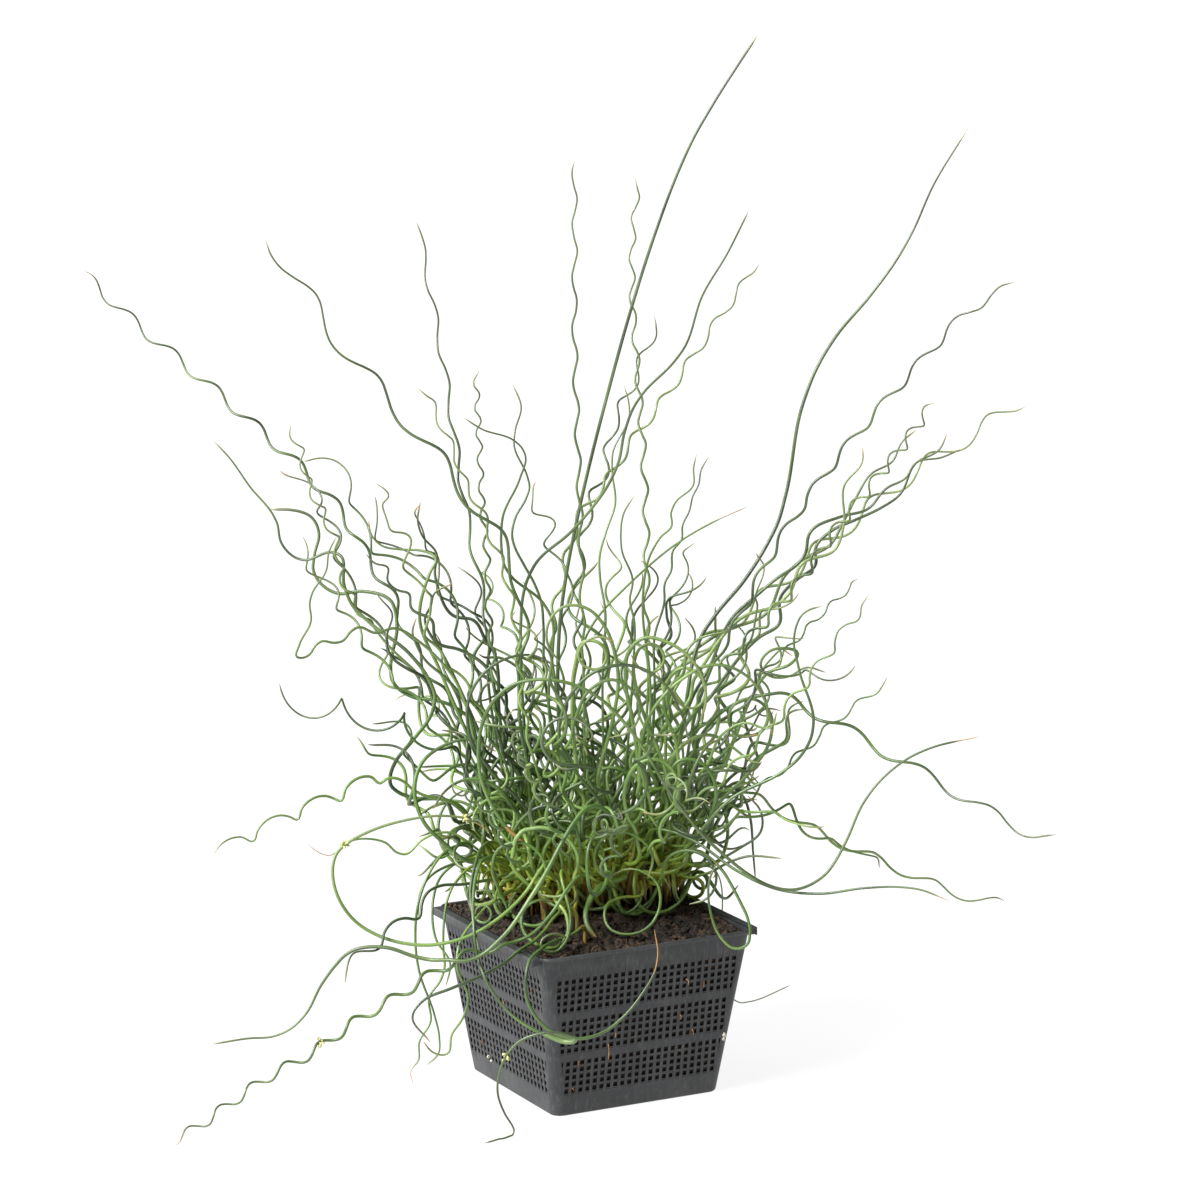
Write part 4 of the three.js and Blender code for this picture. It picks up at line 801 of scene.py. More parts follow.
FINE_CULMS = [  # name, root (across, deep), thickness at root and tip, (across, deep, up) to the tip
    ("left_upper_a", (-50, 43), (2.2, 0.7), [
        (-82, 40, 204), (-118, 50, 268), (-150, 60, 310), (-174, 66, 345), (-184, 70, 372), (-184, 72, 384),
        (-196, 76, 398), (-194, 78, 409), (-204, 82, 417), (-215, 84, 422), (-223, 88, 430),
    ]),
    ("left_upper_b", (-48, 30), (2.2, 0.7), [
        (-74, 10, 226), (-88, 16, 290), (-98, 20, 333), (-109, 22, 359), (-137, 26, 372), (-155, 30, 382),
        (-162, 34, 392), (-167, 38, 405), (-171, 40, 419), (-175, 42, 430), (-184, 44, 440),
        (-204, 48, 445),
    ]),
    ("left_upper_c", (-38, 18), (2.2, 0.7), [
        (-66, -14, 239), (-87, -20, 291), (-104, -24, 314), (-115, -28, 329), (-118, -32, 341),
        (-114, -34, 352), (-111, -36, 363), (-117, -38, 367), (-130, -42, 382), (-131, -44, 393),
        (-127, -46, 404), (-143, -50, 415), (-146, -52, 426), (-140, -54, 437), (-151, -56, 444),
    ]),
    ("left_tan_tip", (-44, 37), (2.0, 0.7), [
        (-71, 26, 230), (-88, 34, 301), (-99, 40, 343), (-124, 46, 377), (-138, 50, 376), (-149, 54, 381),
        (-158, 58, 402), (-154, 60, 412),
    ]),
    ("left_down_wave", (-58, 34), (2.2, 0.8), [
        (-81, 14, 203), (-110, 24, 245), (-128, 30, 273), (-144, 36, 287), (-153, 38, 299), (-165, 40, 313),
        (-173, 44, 327), (-181, 46, 336), (-185, 50, 349), (-197, 54, 355), (-210, 60, 383),
    ]),
    ("left_upright_thin", (-33, 40), (2.0, 0.7), [
        (-63, 24, 245), (-74, 34, 308), (-78, 38, 331), (-106, 42, 343), (-113, 46, 364), (-111, 48, 373),
        (-117, 50, 378), (-126, 54, 399), (-124, 56, 411),
    ]),
    ("left_braid_high", (-46, 26), (2.7, 0.9), [
        (-88, 0, 251), (-109, 2, 301), (-123, 4, 338), (-115, 8, 371), (-111, 10, 380), (-119, 12, 384),
        (-137, 15, 385), (-150, 18, 387), (-158, 20, 396), (-159, 22, 404),
    ]),
    ("left_inner_zig", (-36, 30), (2.7, 0.9), [
        (-67, 20, 260), (-72, 22, 311), (-87, 24, 333), (-98, 25, 334), (-111, 27, 356), (-113, 28, 367),
        (-111, 29, 378), (-122, 31, 392), (-125, 33, 402), (-123, 35, 415),
    ]),
    ("left_braid_low", (-52, 16), (2.7, 0.9), [
        (-66, -20, 255), (-78, -22, 311), (-94, -23, 321), (-110, -25, 327), (-112, -26, 334),
        (-112, -26, 341), (-128, -28, 352), (-129, -29, 363), (-135, -30, 364), (-144, -31, 372),
        (-143, -32, 382), (-152, -33, 384), (-158, -34, 391),
    ]),
    ("left_brown_tip", (-56, 20), (2.7, 1.0), [
        (-79, -14, 239), (-95, -18, 289), (-105, -20, 301), (-118, -22, 313), (-124, -24, 324),
        (-127, -25, 335), (-124, -26, 344),
    ]),
    ("left_short_zig", (-40, 20), (2.7, 1.0), [
        (-82, -4, 259), (-110, -6, 320), (-117, -7, 332), (-119, -8, 340), (-114, -9, 350),
        (-113, -10, 357), (-99, -12, 366),
    ]),
    ("left_low_hook", (-59, 23), (2.2, 0.8), [
        (-73, -20, 212), (-93, -26, 237), (-105, -30, 232), (-122, -36, 234), (-131, -40, 253),
        (-129, -44, 265), (-132, -46, 271), (-145, -52, 274), (-152, -54, 277),
    ]),
    ("centre_upper_zigzag", (3, 46), (2.0, 0.7), [
        (-24, 14, 276), (-21, 20, 333), (-19, 26, 369), (-24, 28, 373), (-33, 30, 382), (-33, 32, 392),
        (-29, 34, 400), (-40, 36, 406), (-45, 38, 415), (-45, 40, 423), (-40, 42, 427),
    ]),
    ("left_thick_loop", (-45, 7), (3.0, 1.4), [
        (-73, -34, 172), (-87, -44, 173), (-104, -52, 188), (-120, -58, 208), (-125, -56, 229),
        (-120, -50, 246), (-106, -42, 256), (-87, -34, 259), (-69, -28, 249),
    ]),
    ("low_left_long", (-47, 16), (2.4, 0.8), [
        (-73, -44, 160), (-92, -56, 160), (-108, -64, 161), (-116, -70, 158), (-120, -76, 151),
        (-121, -80, 142), (-131, -86, 144), (-139, -92, 143), (-145, -98, 137), (-147, -104, 128),
        (-167, -112, 125), (-170, -118, 117), (-171, -122, 108),
    ]),
    ("low_left_hook_a", (-38, 5), (2.0, 0.8), [
        (-80, -70, 142), (-94, -92, 124), (-95, -96, 113), (-87, -98, 88), (-91, -98, 75), (-99, -98, 63),
        (-102, -98, 49), (-112, -100, 51), (-118, -102, 59),
    ]),
    ("low_front_sweep", (-19, -7), (2.6, 0.8), [
        (-34, -74, 132), (-44, -86, 125), (-77, -108, 109), (-98, -112, 101), (-119, -116, 92),
        (-125, -118, 84), (-113, -118, 64),
    ]),
    ("low_left_side", (-70, 35), (2.0, 0.8), [
        (-94, -8, 165), (-109, -20, 155), (-113, -30, 145), (-114, -38, 133), (-111, -44, 116),
        (-101, -50, 101), (-104, -54, 86),
    ]),
    ("left_low_arc", (-63, 28), (2.2, 0.8), [
        (-73, -28, 174), (-87, -34, 172), (-103, -40, 169), (-114, -46, 164), (-122, -52, 153),
        (-123, -58, 138),
    ]),
    ("front_ring_large", (-12, -40), (2.8, 1.4), [
        (-27, -62, 150), (-19, -70, 142), (-20, -76, 129), (-29, -80, 121), (-42, -78, 124),
        (-50, -72, 133), (-49, -66, 144), (-40, -62, 150), (-27, -58, 148),
    ]),
    ("front_curl", (-14, -30), (2.6, 1.3), [
        (-20, -44, 166), (-23, -58, 169), (-19, -70, 154), (-16, -76, 143), (-17, -82, 133),
        (-21, -87, 123), (-27, -90, 117), (-34, -90, 119), (-37, -88, 125), (-33, -86, 131),
        (-25, -84, 132), (-18, -82, 128),
    ]),
    ("front_small_loop", (-59, 14), (2.0, 0.9), [
        (-87, -54, 145), (-81, -62, 135), (-75, -66, 135), (-71, -66, 141), (-75, -64, 147),
        (-81, -60, 145), (-84, -56, 134),
    ]),
    ("front_fresh_thick", (21, 35), (4.2, 3.0), [
        (17, -22, 154), (4, -34, 153), (-3, -44, 145), (-6, -52, 137), (-4, -58, 129), (2, -62, 123),
    ]),
    ("front_left_strand", (-57, 7), (2.6, 0.9), [
        (-80, -42, 181), (-84, -56, 170), (-86, -70, 156), (-83, -84, 139), (-80, -96, 124),
    ]),
    ("right_far_upper", (54, 33), (2.7, 0.9), [
        (68, 6, 278), (80, 10, 298), (100, 14, 339), (114, 16, 351), (131, 18, 365), (141, 20, 371),
        (149, 22, 380), (152, 24, 395), (174, 28, 406), (194, 32, 411), (206, 34, 425), (221, 36, 433),
        (226, 38, 442), (246, 42, 446), (259, 46, 451),
    ]),
    ("right_far_tip", (33, 65), (2.7, 0.9), [
        (86, 28, 280), (118, 34, 318), (132, 36, 327), (132, 38, 345), (144, 41, 358), (158, 44, 369),
        (157, 46, 379), (169, 49, 392), (185, 51, 399), (205, 54, 408), (217, 56, 416), (229, 60, 439),
        (246, 64, 448), (251, 68, 458),
    ]),
    ("right_upper_braid", (41, 52), (2.7, 0.9), [
        (55, 24, 281), (69, 26, 309), (94, 28, 324), (122, 32, 335), (136, 35, 363), (149, 37, 374),
        (167, 39, 383), (177, 42, 400), (187, 45, 419), (196, 48, 433), (212, 50, 442), (218, 53, 455),
        (228, 56, 463),
    ]),
    ("right_upper_zig", (59, 38), (2.7, 0.9), [
        (75, 2, 301), (108, 6, 340), (128, 8, 346), (138, 10, 355), (146, 12, 375), (170, 15, 385),
        (176, 17, 403), (176, 20, 430), (189, 23, 447), (189, 26, 456),
    ]),
    ("right_inner_zig", (27, 39), (2.0, 0.7), [
        (71, -12, 253), (95, -18, 298), (111, -22, 328), (109, -24, 341), (117, -26, 354), (112, -28, 368),
        (119, -30, 383), (115, -32, 394),
    ]),
    ("right_inner_zig_b", (36, 60), (2.0, 0.7), [
        (68, 26, 244), (86, 32, 280), (98, 36, 297), (97, 38, 307), (106, 40, 314), (102, 42, 325),
        (108, 44, 334),
    ]),
    ("right_mid_wave", (54, 21), (2.2, 0.7), [
        (88, -28, 257), (106, -34, 287), (116, -40, 309), (143, -48, 308), (153, -52, 311), (162, -56, 309),
        (169, -58, 310), (181, -62, 315),
    ]),
    ("right_mid_curl", (22, 76), (2.2, 0.8), [
        (86, 16, 232), (107, 22, 260), (124, 26, 281), (119, 28, 294), (122, 30, 303), (132, 32, 307),
        (144, 34, 305),
    ]),
    ("right_back_curl", (14, 66), (2.2, 0.8), [
        (80, 44, 211), (98, 50, 235), (112, 54, 245), (123, 58, 260), (134, 60, 258),
    ]),
    ("right_tan_loop", (45, 31), (2.2, 1.0), [
        (81, -36, 245), (89, -42, 264), (105, -46, 274), (123, -50, 271), (127, -54, 283),
    ]),
    ("right_low_tan", (34, 38), (2.2, 0.8), [
        (85, -24, 191), (99, -30, 203), (109, -36, 207), (120, -40, 211), (132, -46, 203), (144, -50, 204),
        (158, -56, 201),
    ]),
    ("right_low_coil_b", (24, 61), (2.2, 0.8), [
        (90, 18, 180), (119, 24, 192), (144, 30, 192), (153, 34, 174), (177, 38, 164), (193, 42, 159),
        (208, 48, 142),
    ]),
    ("right_low_short", (49, 23), (2.2, 0.9), [
        (82, -38, 164), (95, -44, 173), (106, -48, 178), (131, -56, 179),
    ]),
    ("right_upright", (36, 18), (2.2, 0.9), [
        (108, 28, 200), (112, 30, 185), (114, 34, 161), (116, 38, 139),
    ]),
    ("right_low_arc", (48, 36), (2.2, 0.9), [
        (89, -18, 168), (103, -24, 178), (118, -28, 192), (117, -30, 207), (108, -32, 218),
    ]),
    ("centre_right_tall", (29, 68), (2.2, 0.8), [
        (43, 24, 274), (49, 28, 310), (52, 30, 330), (60, 34, 353), (65, 36, 367), (66, 38, 379),
        (71, 40, 387),
    ]),
    ("front_arch_big", (-28, 0), (2.8, 1.2), [
        (-52, -40, 173), (-57, -46, 191), (-50, -50, 206), (-34, -54, 216), (-20, -56, 212),
        (-11, -56, 196), (-10, -54, 179), (-15, -50, 163),
    ]),
    ("front_arch_mid", (8, 25), (2.6, 1.2), [
        (11, -30, 156), (1, -36, 171), (4, -42, 187), (18, -46, 195), (32, -48, 191), (41, -48, 177),
        (38, -46, 162),
    ]),
    ("front_arch_right", (39, 30), (2.6, 1.1), [
        (47, -30, 156), (52, -36, 174), (66, -42, 181), (80, -46, 176), (86, -48, 163), (80, -48, 148),
        (67, -46, 143),
    ]),
    ("front_arch_left", (-50, 3), (2.6, 1.2), [
        (-66, -50, 154), (-71, -56, 172), (-66, -60, 187), (-52, -62, 192), (-39, -62, 185),
        (-34, -60, 169), (-41, -58, 153),
    ]),
    ("centre_crown_ring", (1, 24), (2.6, 1.1), [
        (-13, -50, 277), (-3, -54, 299), (13, -56, 307), (26, -56, 300), (32, -54, 283), (25, -52, 269),
        (11, -50, 264),
    ]),
    ("centre_crown_arc", (17, 21), (2.6, 1.0), [
        (4, -50, 219), (-13, -56, 242), (-24, -60, 268), (-18, -62, 294), (1, -62, 314), (25, -60, 318),
        (46, -56, 307), (60, -52, 284), (67, -48, 258),
    ]),
    ("right_crown_arc", (28, 32), (2.6, 1.0), [
        (39, -40, 217), (32, -46, 247), (39, -50, 280), (60, -50, 305), (84, -48, 316), (105, -44, 308),
        (119, -40, 289), (125, -36, 263),
    ]),
    ("left_crown_arc", (-33, 9), (2.6, 1.0), [
        (-52, -46, 218), (-72, -52, 241), (-86, -56, 267), (-86, -58, 296), (-69, -58, 318),
        (-44, -54, 324), (-24, -50, 314),
    ]),
    ("crown_ring_a", (-6, 10), (2.8, 1.2), [
        (-13, -40, 246), (-15, -48, 291), (-13, -52, 316), (-6, -54, 334), (4, -56, 333), (9, -57, 324),
        (4, -58, 315), (-5, -59, 316), (-11, -60, 325), (-7, -62, 334), (3, -63, 339), (14, -64, 336),
    ]),
    ("crown_ring_b", (4, 18), (2.8, 1.2), [
        (4, -30, 236), (13, -36, 273), (17, -40, 303), (14, -42, 325), (7, -44, 343), (-6, -46, 356),
        (-21, -48, 357), (-31, -50, 347), (-32, -52, 331), (-24, -53, 319),
    ]),
    ("crown_ring_c", (20, 14), (3.0, 1.4), [
        (32, -34, 230), (27, -40, 274), (22, -44, 304), (25, -46, 326), (35, -48, 335), (49, -50, 333),
        (62, -52, 326), (74, -52, 311), (78, -50, 291), (74, -48, 275),
    ]),
    ("crown_ring_d", (26, 10), (2.8, 1.2), [
        (50, -30, 236), (39, -34, 266), (30, -38, 295), (28, -40, 316), (34, -42, 328), (45, -44, 328),
        (49, -45, 318), (42, -46, 310), (32, -48, 313), (26, -50, 323),
    ]),
    ("crown_ring_e", (34, 14), (2.8, 1.2), [
        (60, -28, 221), (57, -32, 258), (49, -36, 284), (52, -38, 303), (63, -40, 312), (74, -42, 306),
        (78, -43, 294), (71, -44, 284), (60, -46, 287), (54, -47, 298),
    ]),
    ("heart_ring_middle", (10, -2), (3.0, 1.4), [
        (32, -44, 182), (23, -50, 209), (22, -54, 231), (31, -56, 247), (46, -58, 250), (57, -59, 239),
        (57, -58, 221), (47, -57, 211), (34, -56, 212),
    ]),
    ("heart_ring_left", (-30, -16), (3.2, 1.6), [
        (-46, -56, 160), (-57, -60, 175), (-54, -62, 194), (-40, -64, 203), (-24, -66, 200),
        (-12, -66, 186), (-12, -66, 167), (-24, -66, 154), (-38, -64, 155),
    ]),
    ("heart_ring_right", (36, 6), (2.8, 1.2), [
        (67, -36, 180), (83, -40, 206), (85, -43, 228), (75, -45, 245), (60, -46, 247), (52, -47, 234),
        (55, -47, 217), (67, -46, 210), (78, -46, 218),
    ]),
    ("right_ring", (48, 20), (2.6, 1.1), [
        (90, -20, 212), (111, -24, 235), (124, -28, 259), (123, -30, 278), (110, -32, 288), (98, -33, 284),
        (94, -34, 272), (102, -34, 261), (114, -35, 263),
    ]),
    ("right_lying_coil", (50, 28), (2.6, 0.9), [
        (99, -10, 253), (110, -14, 283), (123, -18, 304), (137, -22, 310), (143, -26, 319), (134, -32, 324),
        (121, -36, 322), (116, -36, 314), (123, -32, 304), (137, -28, 303), (148, -26, 309),
        (162, -24, 305),
    ]),
]


def culm_radii(base, tip, path):
    """Half the thickness at each point: slender along the body, then drawn out to the tip."""
    last = len(path) - 1
    body = [base + (tip - base) * BODY_TAPER * i / last for i in range(last + 1)]
    return [(b + (tip - b) * ease(i / last, TIP_START, 1.0)) / 2 for i, b in enumerate(body)]


def off_wall(x, y):
    """The way straight off the wall that is nearest."""
    return Vector((math.copysign(1, x), 0, 0) if abs(x) > abs(y) else (0, math.copysign(1, y), 0))


def push_off_basket(point, radius):
    """The push that clears a point of the soil, the basket's walls and its edge."""
    reach = max(abs(point.x), abs(point.y))
    outward = off_wall(point.x, point.y)
    rim = RIM_HALF + (GRIP_WIDTH if outward.x else EDGE_PROUD) + radius + CLEARANCE
    if reach < top_half - 1:
        need = soil_height(point.x, point.y) + CRUMB_CLEARANCE + radius - point.z
        return max(0.0, min(need, LONGEST_PUSH)) * UP
    if reach > rim or point.z > BASKET_HEIGHT + radius + CLEARANCE:
        return Vector((0, 0, 0))
    if point.z > BASKET_HEIGHT - GRIP_LIP - radius:
        up = BASKET_HEIGHT + radius + CLEARANCE - point.z
        out = rim - reach
    else:
        up = math.inf
        out = wall_half(point.z) + radius + CLEARANCE - reach
    if up < out:
        return min(up, LONGEST_PUSH) * UP
    return outward * max(0.0, min(out, LONGEST_PUSH))


def bend_clear(path, radii, rounds):
    """Bends a culm off those that already stand, the soil and the basket, but not its foot."""
    tree = KDTree(len(standing))
    for i, (point, _) in enumerate(standing):
        tree.insert(point, i)
    tree.balance()
    fade = [math.cos(k * math.pi / (2 * PUSH_SPREAD)) for k in range(PUSH_SPREAD)]
    for _ in range(rounds):
        pushes = [None] * len(path)
        for i in range(FIRST_FREE, len(path)):
            need = radii[i] + CLEARANCE
            push = push_off_basket(path[i], radii[i])
            for near, index, gap in tree.find_range(path[i], need + THICKEST):
                short = need + standing[index][1] - gap
                if short > CLEAR_ENOUGH:
                    push += (path[i] - near).normalized() * short * PUSH_SHARE
            if push.length > CLEAR_ENOUGH:
                pushes[i] = push
        if not any(pushes):
            break
        moved = [point.copy() for point in path]
        for i in range(FIRST_FREE, len(path)):
            best = None
            for k in range(1 - PUSH_SPREAD, PUSH_SPREAD):
                if 0 <= i + k < len(path) and pushes[i + k]:
                    felt = pushes[i + k] * fade[abs(k)] * ease(i, FIRST_FREE - 1, FIRST_FREE + 4)
                    if best is None or felt.length > best.length:
                        best = felt
            if best:
                moved[i] += best
        path[:] = moved
    ease_bends(path, FIRST_FREE, 2)
    for point in path:
        point.z = max(point.z, LOWEST)


def root_points(across, deep):
    """The foot of a culm: straight up out of its place in the soil."""
    foot = to_basket(across, deep)
    top = soil_height(foot.x, foot.y)
    return [Vector((foot.x, foot.y, top + rise)) for rise in (-ROOT_DEPTH, 3.0, 12.0)]


def smooth_line(points, step):
    """A smooth line through points, with a point about every step."""
    return smooth_path(points, [0.0] * len(points), step)[0]


dice = random.Random(41)
for name, root, (base, tip), places in FINE_CULMS:
    points = root_points(*root) + [to_basket(*p) for p in places]
    path = smooth_line(points, CULM_STEP)
    free = (points[3] - points[2]).length
    wave_radius, wave = WAVY.get(name, (0, dice.uniform(*SWAY_WAVES)))
    turn = dice.uniform(0, math.tau)
    for i, point in enumerate(path):
        run = i * CULM_STEP
        sway = SWAY * ease(run, 16, 40) * (1 - ease(run, free - 10, free + 22))
        sway = max(sway, wave_radius * ease(run, 16, 60))
        angle = turn + math.tau * run / wave
        point += to_basket(sway * math.cos(angle), sway * math.sin(angle), 0.6 * sway * math.sin(angle))
    radii = culm_radii(base, tip + FINE_TIP, path)
    bend_clear(path, radii, FINE_ROUNDS)
    take_place(path, radii)
    tone, dry_tip = dice.uniform(-0.25, 0.35), dice.uniform(-4, 7)
    finish_culm(grow_rod(path, draw_to_point(radii), FINE_FACETS, tone, dry_tip), "rush_fine_" + name)

# ---- Heart of the clump ---------------------------------------------------------------------
# Some hundred and seventy shorter culms crowd the middle of the clump. The taller ones fan out
# in tight waves as its crown. The rest coil widely round their own line and make the springy
# tangle above the soil, and low down some curl over and back as open rings.

CROWN_CULMS = 24
CROWN_REACH = 200.0  # how far out from the middle these may end
HEART_CULMS = 68
LOW_CURLS = 40
HIGH_CURLS = 34
HEART_CENTRE = (-4.0, 28.0)  # across and deep
HEART_HALF_WIDTH = 67.0
CLUMP_ENDS = (-71.0, 61.0)  # across
FRONT_FAN = 1.6  # how much more its culms fan out forwards and backwards than sideways
CLUMP_FRONT = [  # across and deep: where the clump's front edge runs over the soil
    (-73, 34), (-68, 23), (-53, -4), (-38, -13), (-24, -26), (-10, -13), (4, -6), (15, -3),
    (32, 3), (41, 7), (58, 26), (62, 34),
]
FOOT_LIMIT = 70.0  # how far out along X and Y a foot may stand
CROWN_SPAN = (-170.0, 150.0)  # across: the crown's culms end before they leave it
HEART_SPAN = (-126.0, 118.0)
CLUMP_TOP = 362.0
STRAY_WAVES, OPEN_WAVES = (85, 160), (60, 130)  # lengths over which a culm strays, and its coils open
OPENING = 0.45
ANY_TURN = (0, 6.3)
CROWN_STRAY, HEART_STRAY = 0.22, 0.35
RISE_SWAY, RISE_WAVE = 0.09, 46.0  # of the stretch below a ring
RING_BEND = (10, 24)  # its radius
RING_TIGHTENING = 0.5  # towards its tip
RING_CLIMB = 0.012  # keeps it off itself
LOW_PLACES = (30, 22, 56)  # the first of the outer places, how many, and of how many in all
HIGH_PLACES = (8, 48)
TIGHT_SHARE = 0.35  # of the springy culms, which coil in two ways
CLUMP_STEP = 2.8
CLUMP_FACETS = 7
CLUMP_ROUNDS = 12
CULMS_IN_A_TUFT = 22
GOLDEN_ANGLE = math.radians(137.508)


def compass(bearing):
    """The level direction of a bearing."""
    return Vector((math.cos(bearing), math.sin(bearing), 0))


def square_to(flat):
    """The level direction that lies square to another."""
    return Vector((-flat.y, flat.x, 0))


def coiled_path(root, bearing, lean, droop, length, coil, pitch, drift, stray, dice):
    """A culm that leans out along its bearing, droops, strays, and coils round that line."""
    points = root_points(*root)[:2]
    at = points[-1].copy()
    angle = dice.uniform(0, math.tau)
    hand = dice.choice((-1, 1))
    stray_wave, stray_turn, stray_tilt, open_wave, open_turn = (
        dice.uniform(*span) for span in (STRAY_WAVES, ANY_TURN, ANY_TURN, OPEN_WAVES, ANY_TURN))
    path = smooth_line(points, CLUMP_STEP)
    for i in range(1, round(length / CLUMP_STEP)):
        run = i * CLUMP_STEP
        tilt = lean * ease(run, -10, 40) + droop * (run / length) ** 2
        tilt += stray * ease(run, 10, 60) * math.sin(stray_tilt + math.tau * run / stray_wave)
        aim_at = bearing + drift * run / length
        aim_at += 2 * stray * math.sin(stray_turn + math.tau * run / stray_wave)
        flat = compass(aim_at)
        line = math.sin(tilt) * flat + math.cos(tilt) * UP
        at = at + line * CLUMP_STEP
        side = square_to(flat)
        over = line.cross(side)
        openness = 1 + OPENING * math.sin(open_turn + math.tau * run / open_wave)
        angle += hand * math.tau * CLUMP_STEP / (pitch * openness)
        wound = coil * openness * ease(run, 0, 30)
        path.append(at + wound * (math.cos(angle) * side + math.sin(angle) * over))
    return smooth_line(path[::2], CLUMP_STEP)


def curling_path(root, bearing, bend, length, twist, rise, lean):
    """A culm that rises a little and then keeps bending over to one side, in an open ring."""
    path = smooth_line(root_points(*root)[:2], CLUMP_STEP)
    flat = compass(bearing)
    heading = (UP + lean).normalized()
    axis = (square_to(flat) + twist * flat).normalized()
    for i in range(round(length / CLUMP_STEP)):
        run = i * CLUMP_STEP
        straight = 1 - ease(run, rise, rise + 18)
        tighter = 1.0 + RING_TIGHTENING * run / length
        angle = CLUMP_STEP / bend * tighter * (1 - 0.75 * straight)
        if run < rise:
            angle = RISE_SWAY * math.sin(math.tau * run / RISE_WAVE + bend)
        heading = Matrix.Rotation(angle, 3, axis) @ heading
        heading = (heading + RING_CLIMB * axis).normalized()
        path.append(path[-1] + heading * CLUMP_STEP)
    return path


def front_edge(across):
    """How deep the clump begins here."""
    for (left, at_left), (right, at_right) in zip(CLUMP_FRONT, CLUMP_FRONT[1:]):
        if across < right:
            return at_left + (at_right - at_left) * max(0.0, across - left) / (right - left)
    return CLUMP_FRONT[-1][1]


def heart_root(k, count, dice):
    """Where the k-th of many culms stands, its bearing and how far out it is, with all of them
    spread evenly over the clump's foot. A k between whole numbers keeps off the others' places."""
    reach = math.sqrt((k + 0.5) / count)
    turn = k * GOLDEN_ANGLE
    across = HEART_CENTRE[0] + HEART_HALF_WIDTH * reach * math.cos(turn) + dice.gauss(0, 2)
    across = max(CLUMP_ENDS[0], min(CLUMP_ENDS[1], across))
    half_chord = math.sqrt(max(0.05, 1 - (reach * math.cos(turn)) ** 2))
    part = max(0.0, min(1.0, 0.5 + 0.5 * reach * math.sin(turn) / half_chord))
    cosine, sine = math.cos(CLUMP_TURN), -math.sin(CLUMP_TURN)
    back = min((FOOT_LIMIT - across * cosine) / sine, (FOOT_LIMIT + across * sine) / cosine)
    front = front_edge(across)
    deep = front + part * max(0.0, back - front) + dice.gauss(0, 1.5)
    outward = to_basket(across - HEART_CENTRE[0], (deep - HEART_CENTRE[1]) * FRONT_FAN)
    return (across, deep), math.atan2(outward.y, outward.x), reach


def cut_short(path, span):
    """A culm as far as it stays within a span and under the clump's top."""
    across = to_basket(1, 0, 0)
    for i, point in enumerate(path):
        if point.z > CLUMP_TOP or not span[0] < point.dot(across) < span[1]:
            return path[:i]
    return path


def plant_tufts(culms, span, name):
    """Plants culms one after the other, and finishes each tuft of them as a piece."""
    tuft = bmesh.new()
    for k, (path, base, tip, tone, dry_tip) in enumerate(culms, 1):
        path = cut_short(path, span)
        radii = culm_radii(base, tip, path)
        bend_clear(path, radii, CLUMP_ROUNDS)
        take_place(path, radii)
        join(tuft, grow_rod(path, draw_to_point(radii), CLUMP_FACETS, tone, dry_tip))
        if k % CULMS_IN_A_TUFT == 0 or k == len(culms):
            finish_culm(tuft, f"{name}_{math.ceil(k / CULMS_IN_A_TUFT)}")
            tuft = bmesh.new()


def crown_culm(k):
    """The k-th culm of the crown, with its thickness at root and tip, its tone and its dry tip."""
    dice = random.Random(900 + k)
    root, bearing, reach = heart_root(k + 0.31, CROWN_CULMS, dice)
    lean = math.radians(4 + 40 * reach ** 1.2 + dice.gauss(0, 4))
    length = min(dice.uniform(180, 340), (CROWN_REACH - 60 * reach) / math.sin(max(lean, 0.1)))
    path = coiled_path(
        root, bearing + dice.gauss(0, 0.3), lean, math.radians(dice.uniform(-12, 12)), length,
        dice.uniform(4, 10), dice.uniform(38, 62), dice.gauss(0, 0.3), CROWN_STRAY, dice)
    thickness = dice.uniform(2.5, 3.1), dice.uniform(1.2, 1.7)
    return path, *thickness, dice.uniform(-0.25, 0.4), dice.uniform(-6, 6)


plant_tufts([crown_culm(k) for k in range(CROWN_CULMS)], CROWN_SPAN, "rush_crown_tuft")


def open_ring(k):
    """The k-th curling culm: a low one at the clump's edge, or one that first rises inside it."""
    dice = random.Random(1500 + k)
    side = dice.choice((-1, 1))
    if k < LOW_CURLS:
        first, places, count = LOW_PLACES
        root, bearing, _ = heart_root(k % places + first, count, dice)
        rise, lean, more = 0.0, Vector(), dice.uniform(90, 185)
    else:
        first, count = HIGH_PLACES
        root, bearing, _ = heart_root(k - LOW_CURLS + first, count, dice)
        rise, more = dice.uniform(25, 115), dice.uniform(70, 150)
        lean = 0.35 * compass(bearing)
    return curling_path(
        root, bearing + side * math.pi / 2 + dice.gauss(0, 0.5), dice.uniform(*RING_BEND), rise + more,
        dice.choice((-1, 1)) * dice.uniform(0.15, 0.6), rise, lean)


def springy(k):
    """The k-th culm that coils widely round its own line."""
    dice = random.Random(500 + k)
    root, bearing, reach = heart_root(k, HEART_CULMS, dice)
    lean = math.radians(8 + 40 * reach ** 1.4 + dice.gauss(0, 8))
    droop = math.radians(dice.uniform(0, 55) * reach)
    length = dice.uniform(110, 300) * (1.05 - 0.34 * reach)
    tight = dice.random() < TIGHT_SHARE
    coil = dice.uniform(7, 11) if tight else dice.uniform(11, 19)
    pitch = dice.uniform(42, 60) if tight else dice.uniform(58, 92)
    return coiled_path(
        root, bearing + dice.gauss(0, 0.55), lean, droop, length, coil, pitch,
        dice.gauss(0, 0.6), HEART_STRAY, dice)


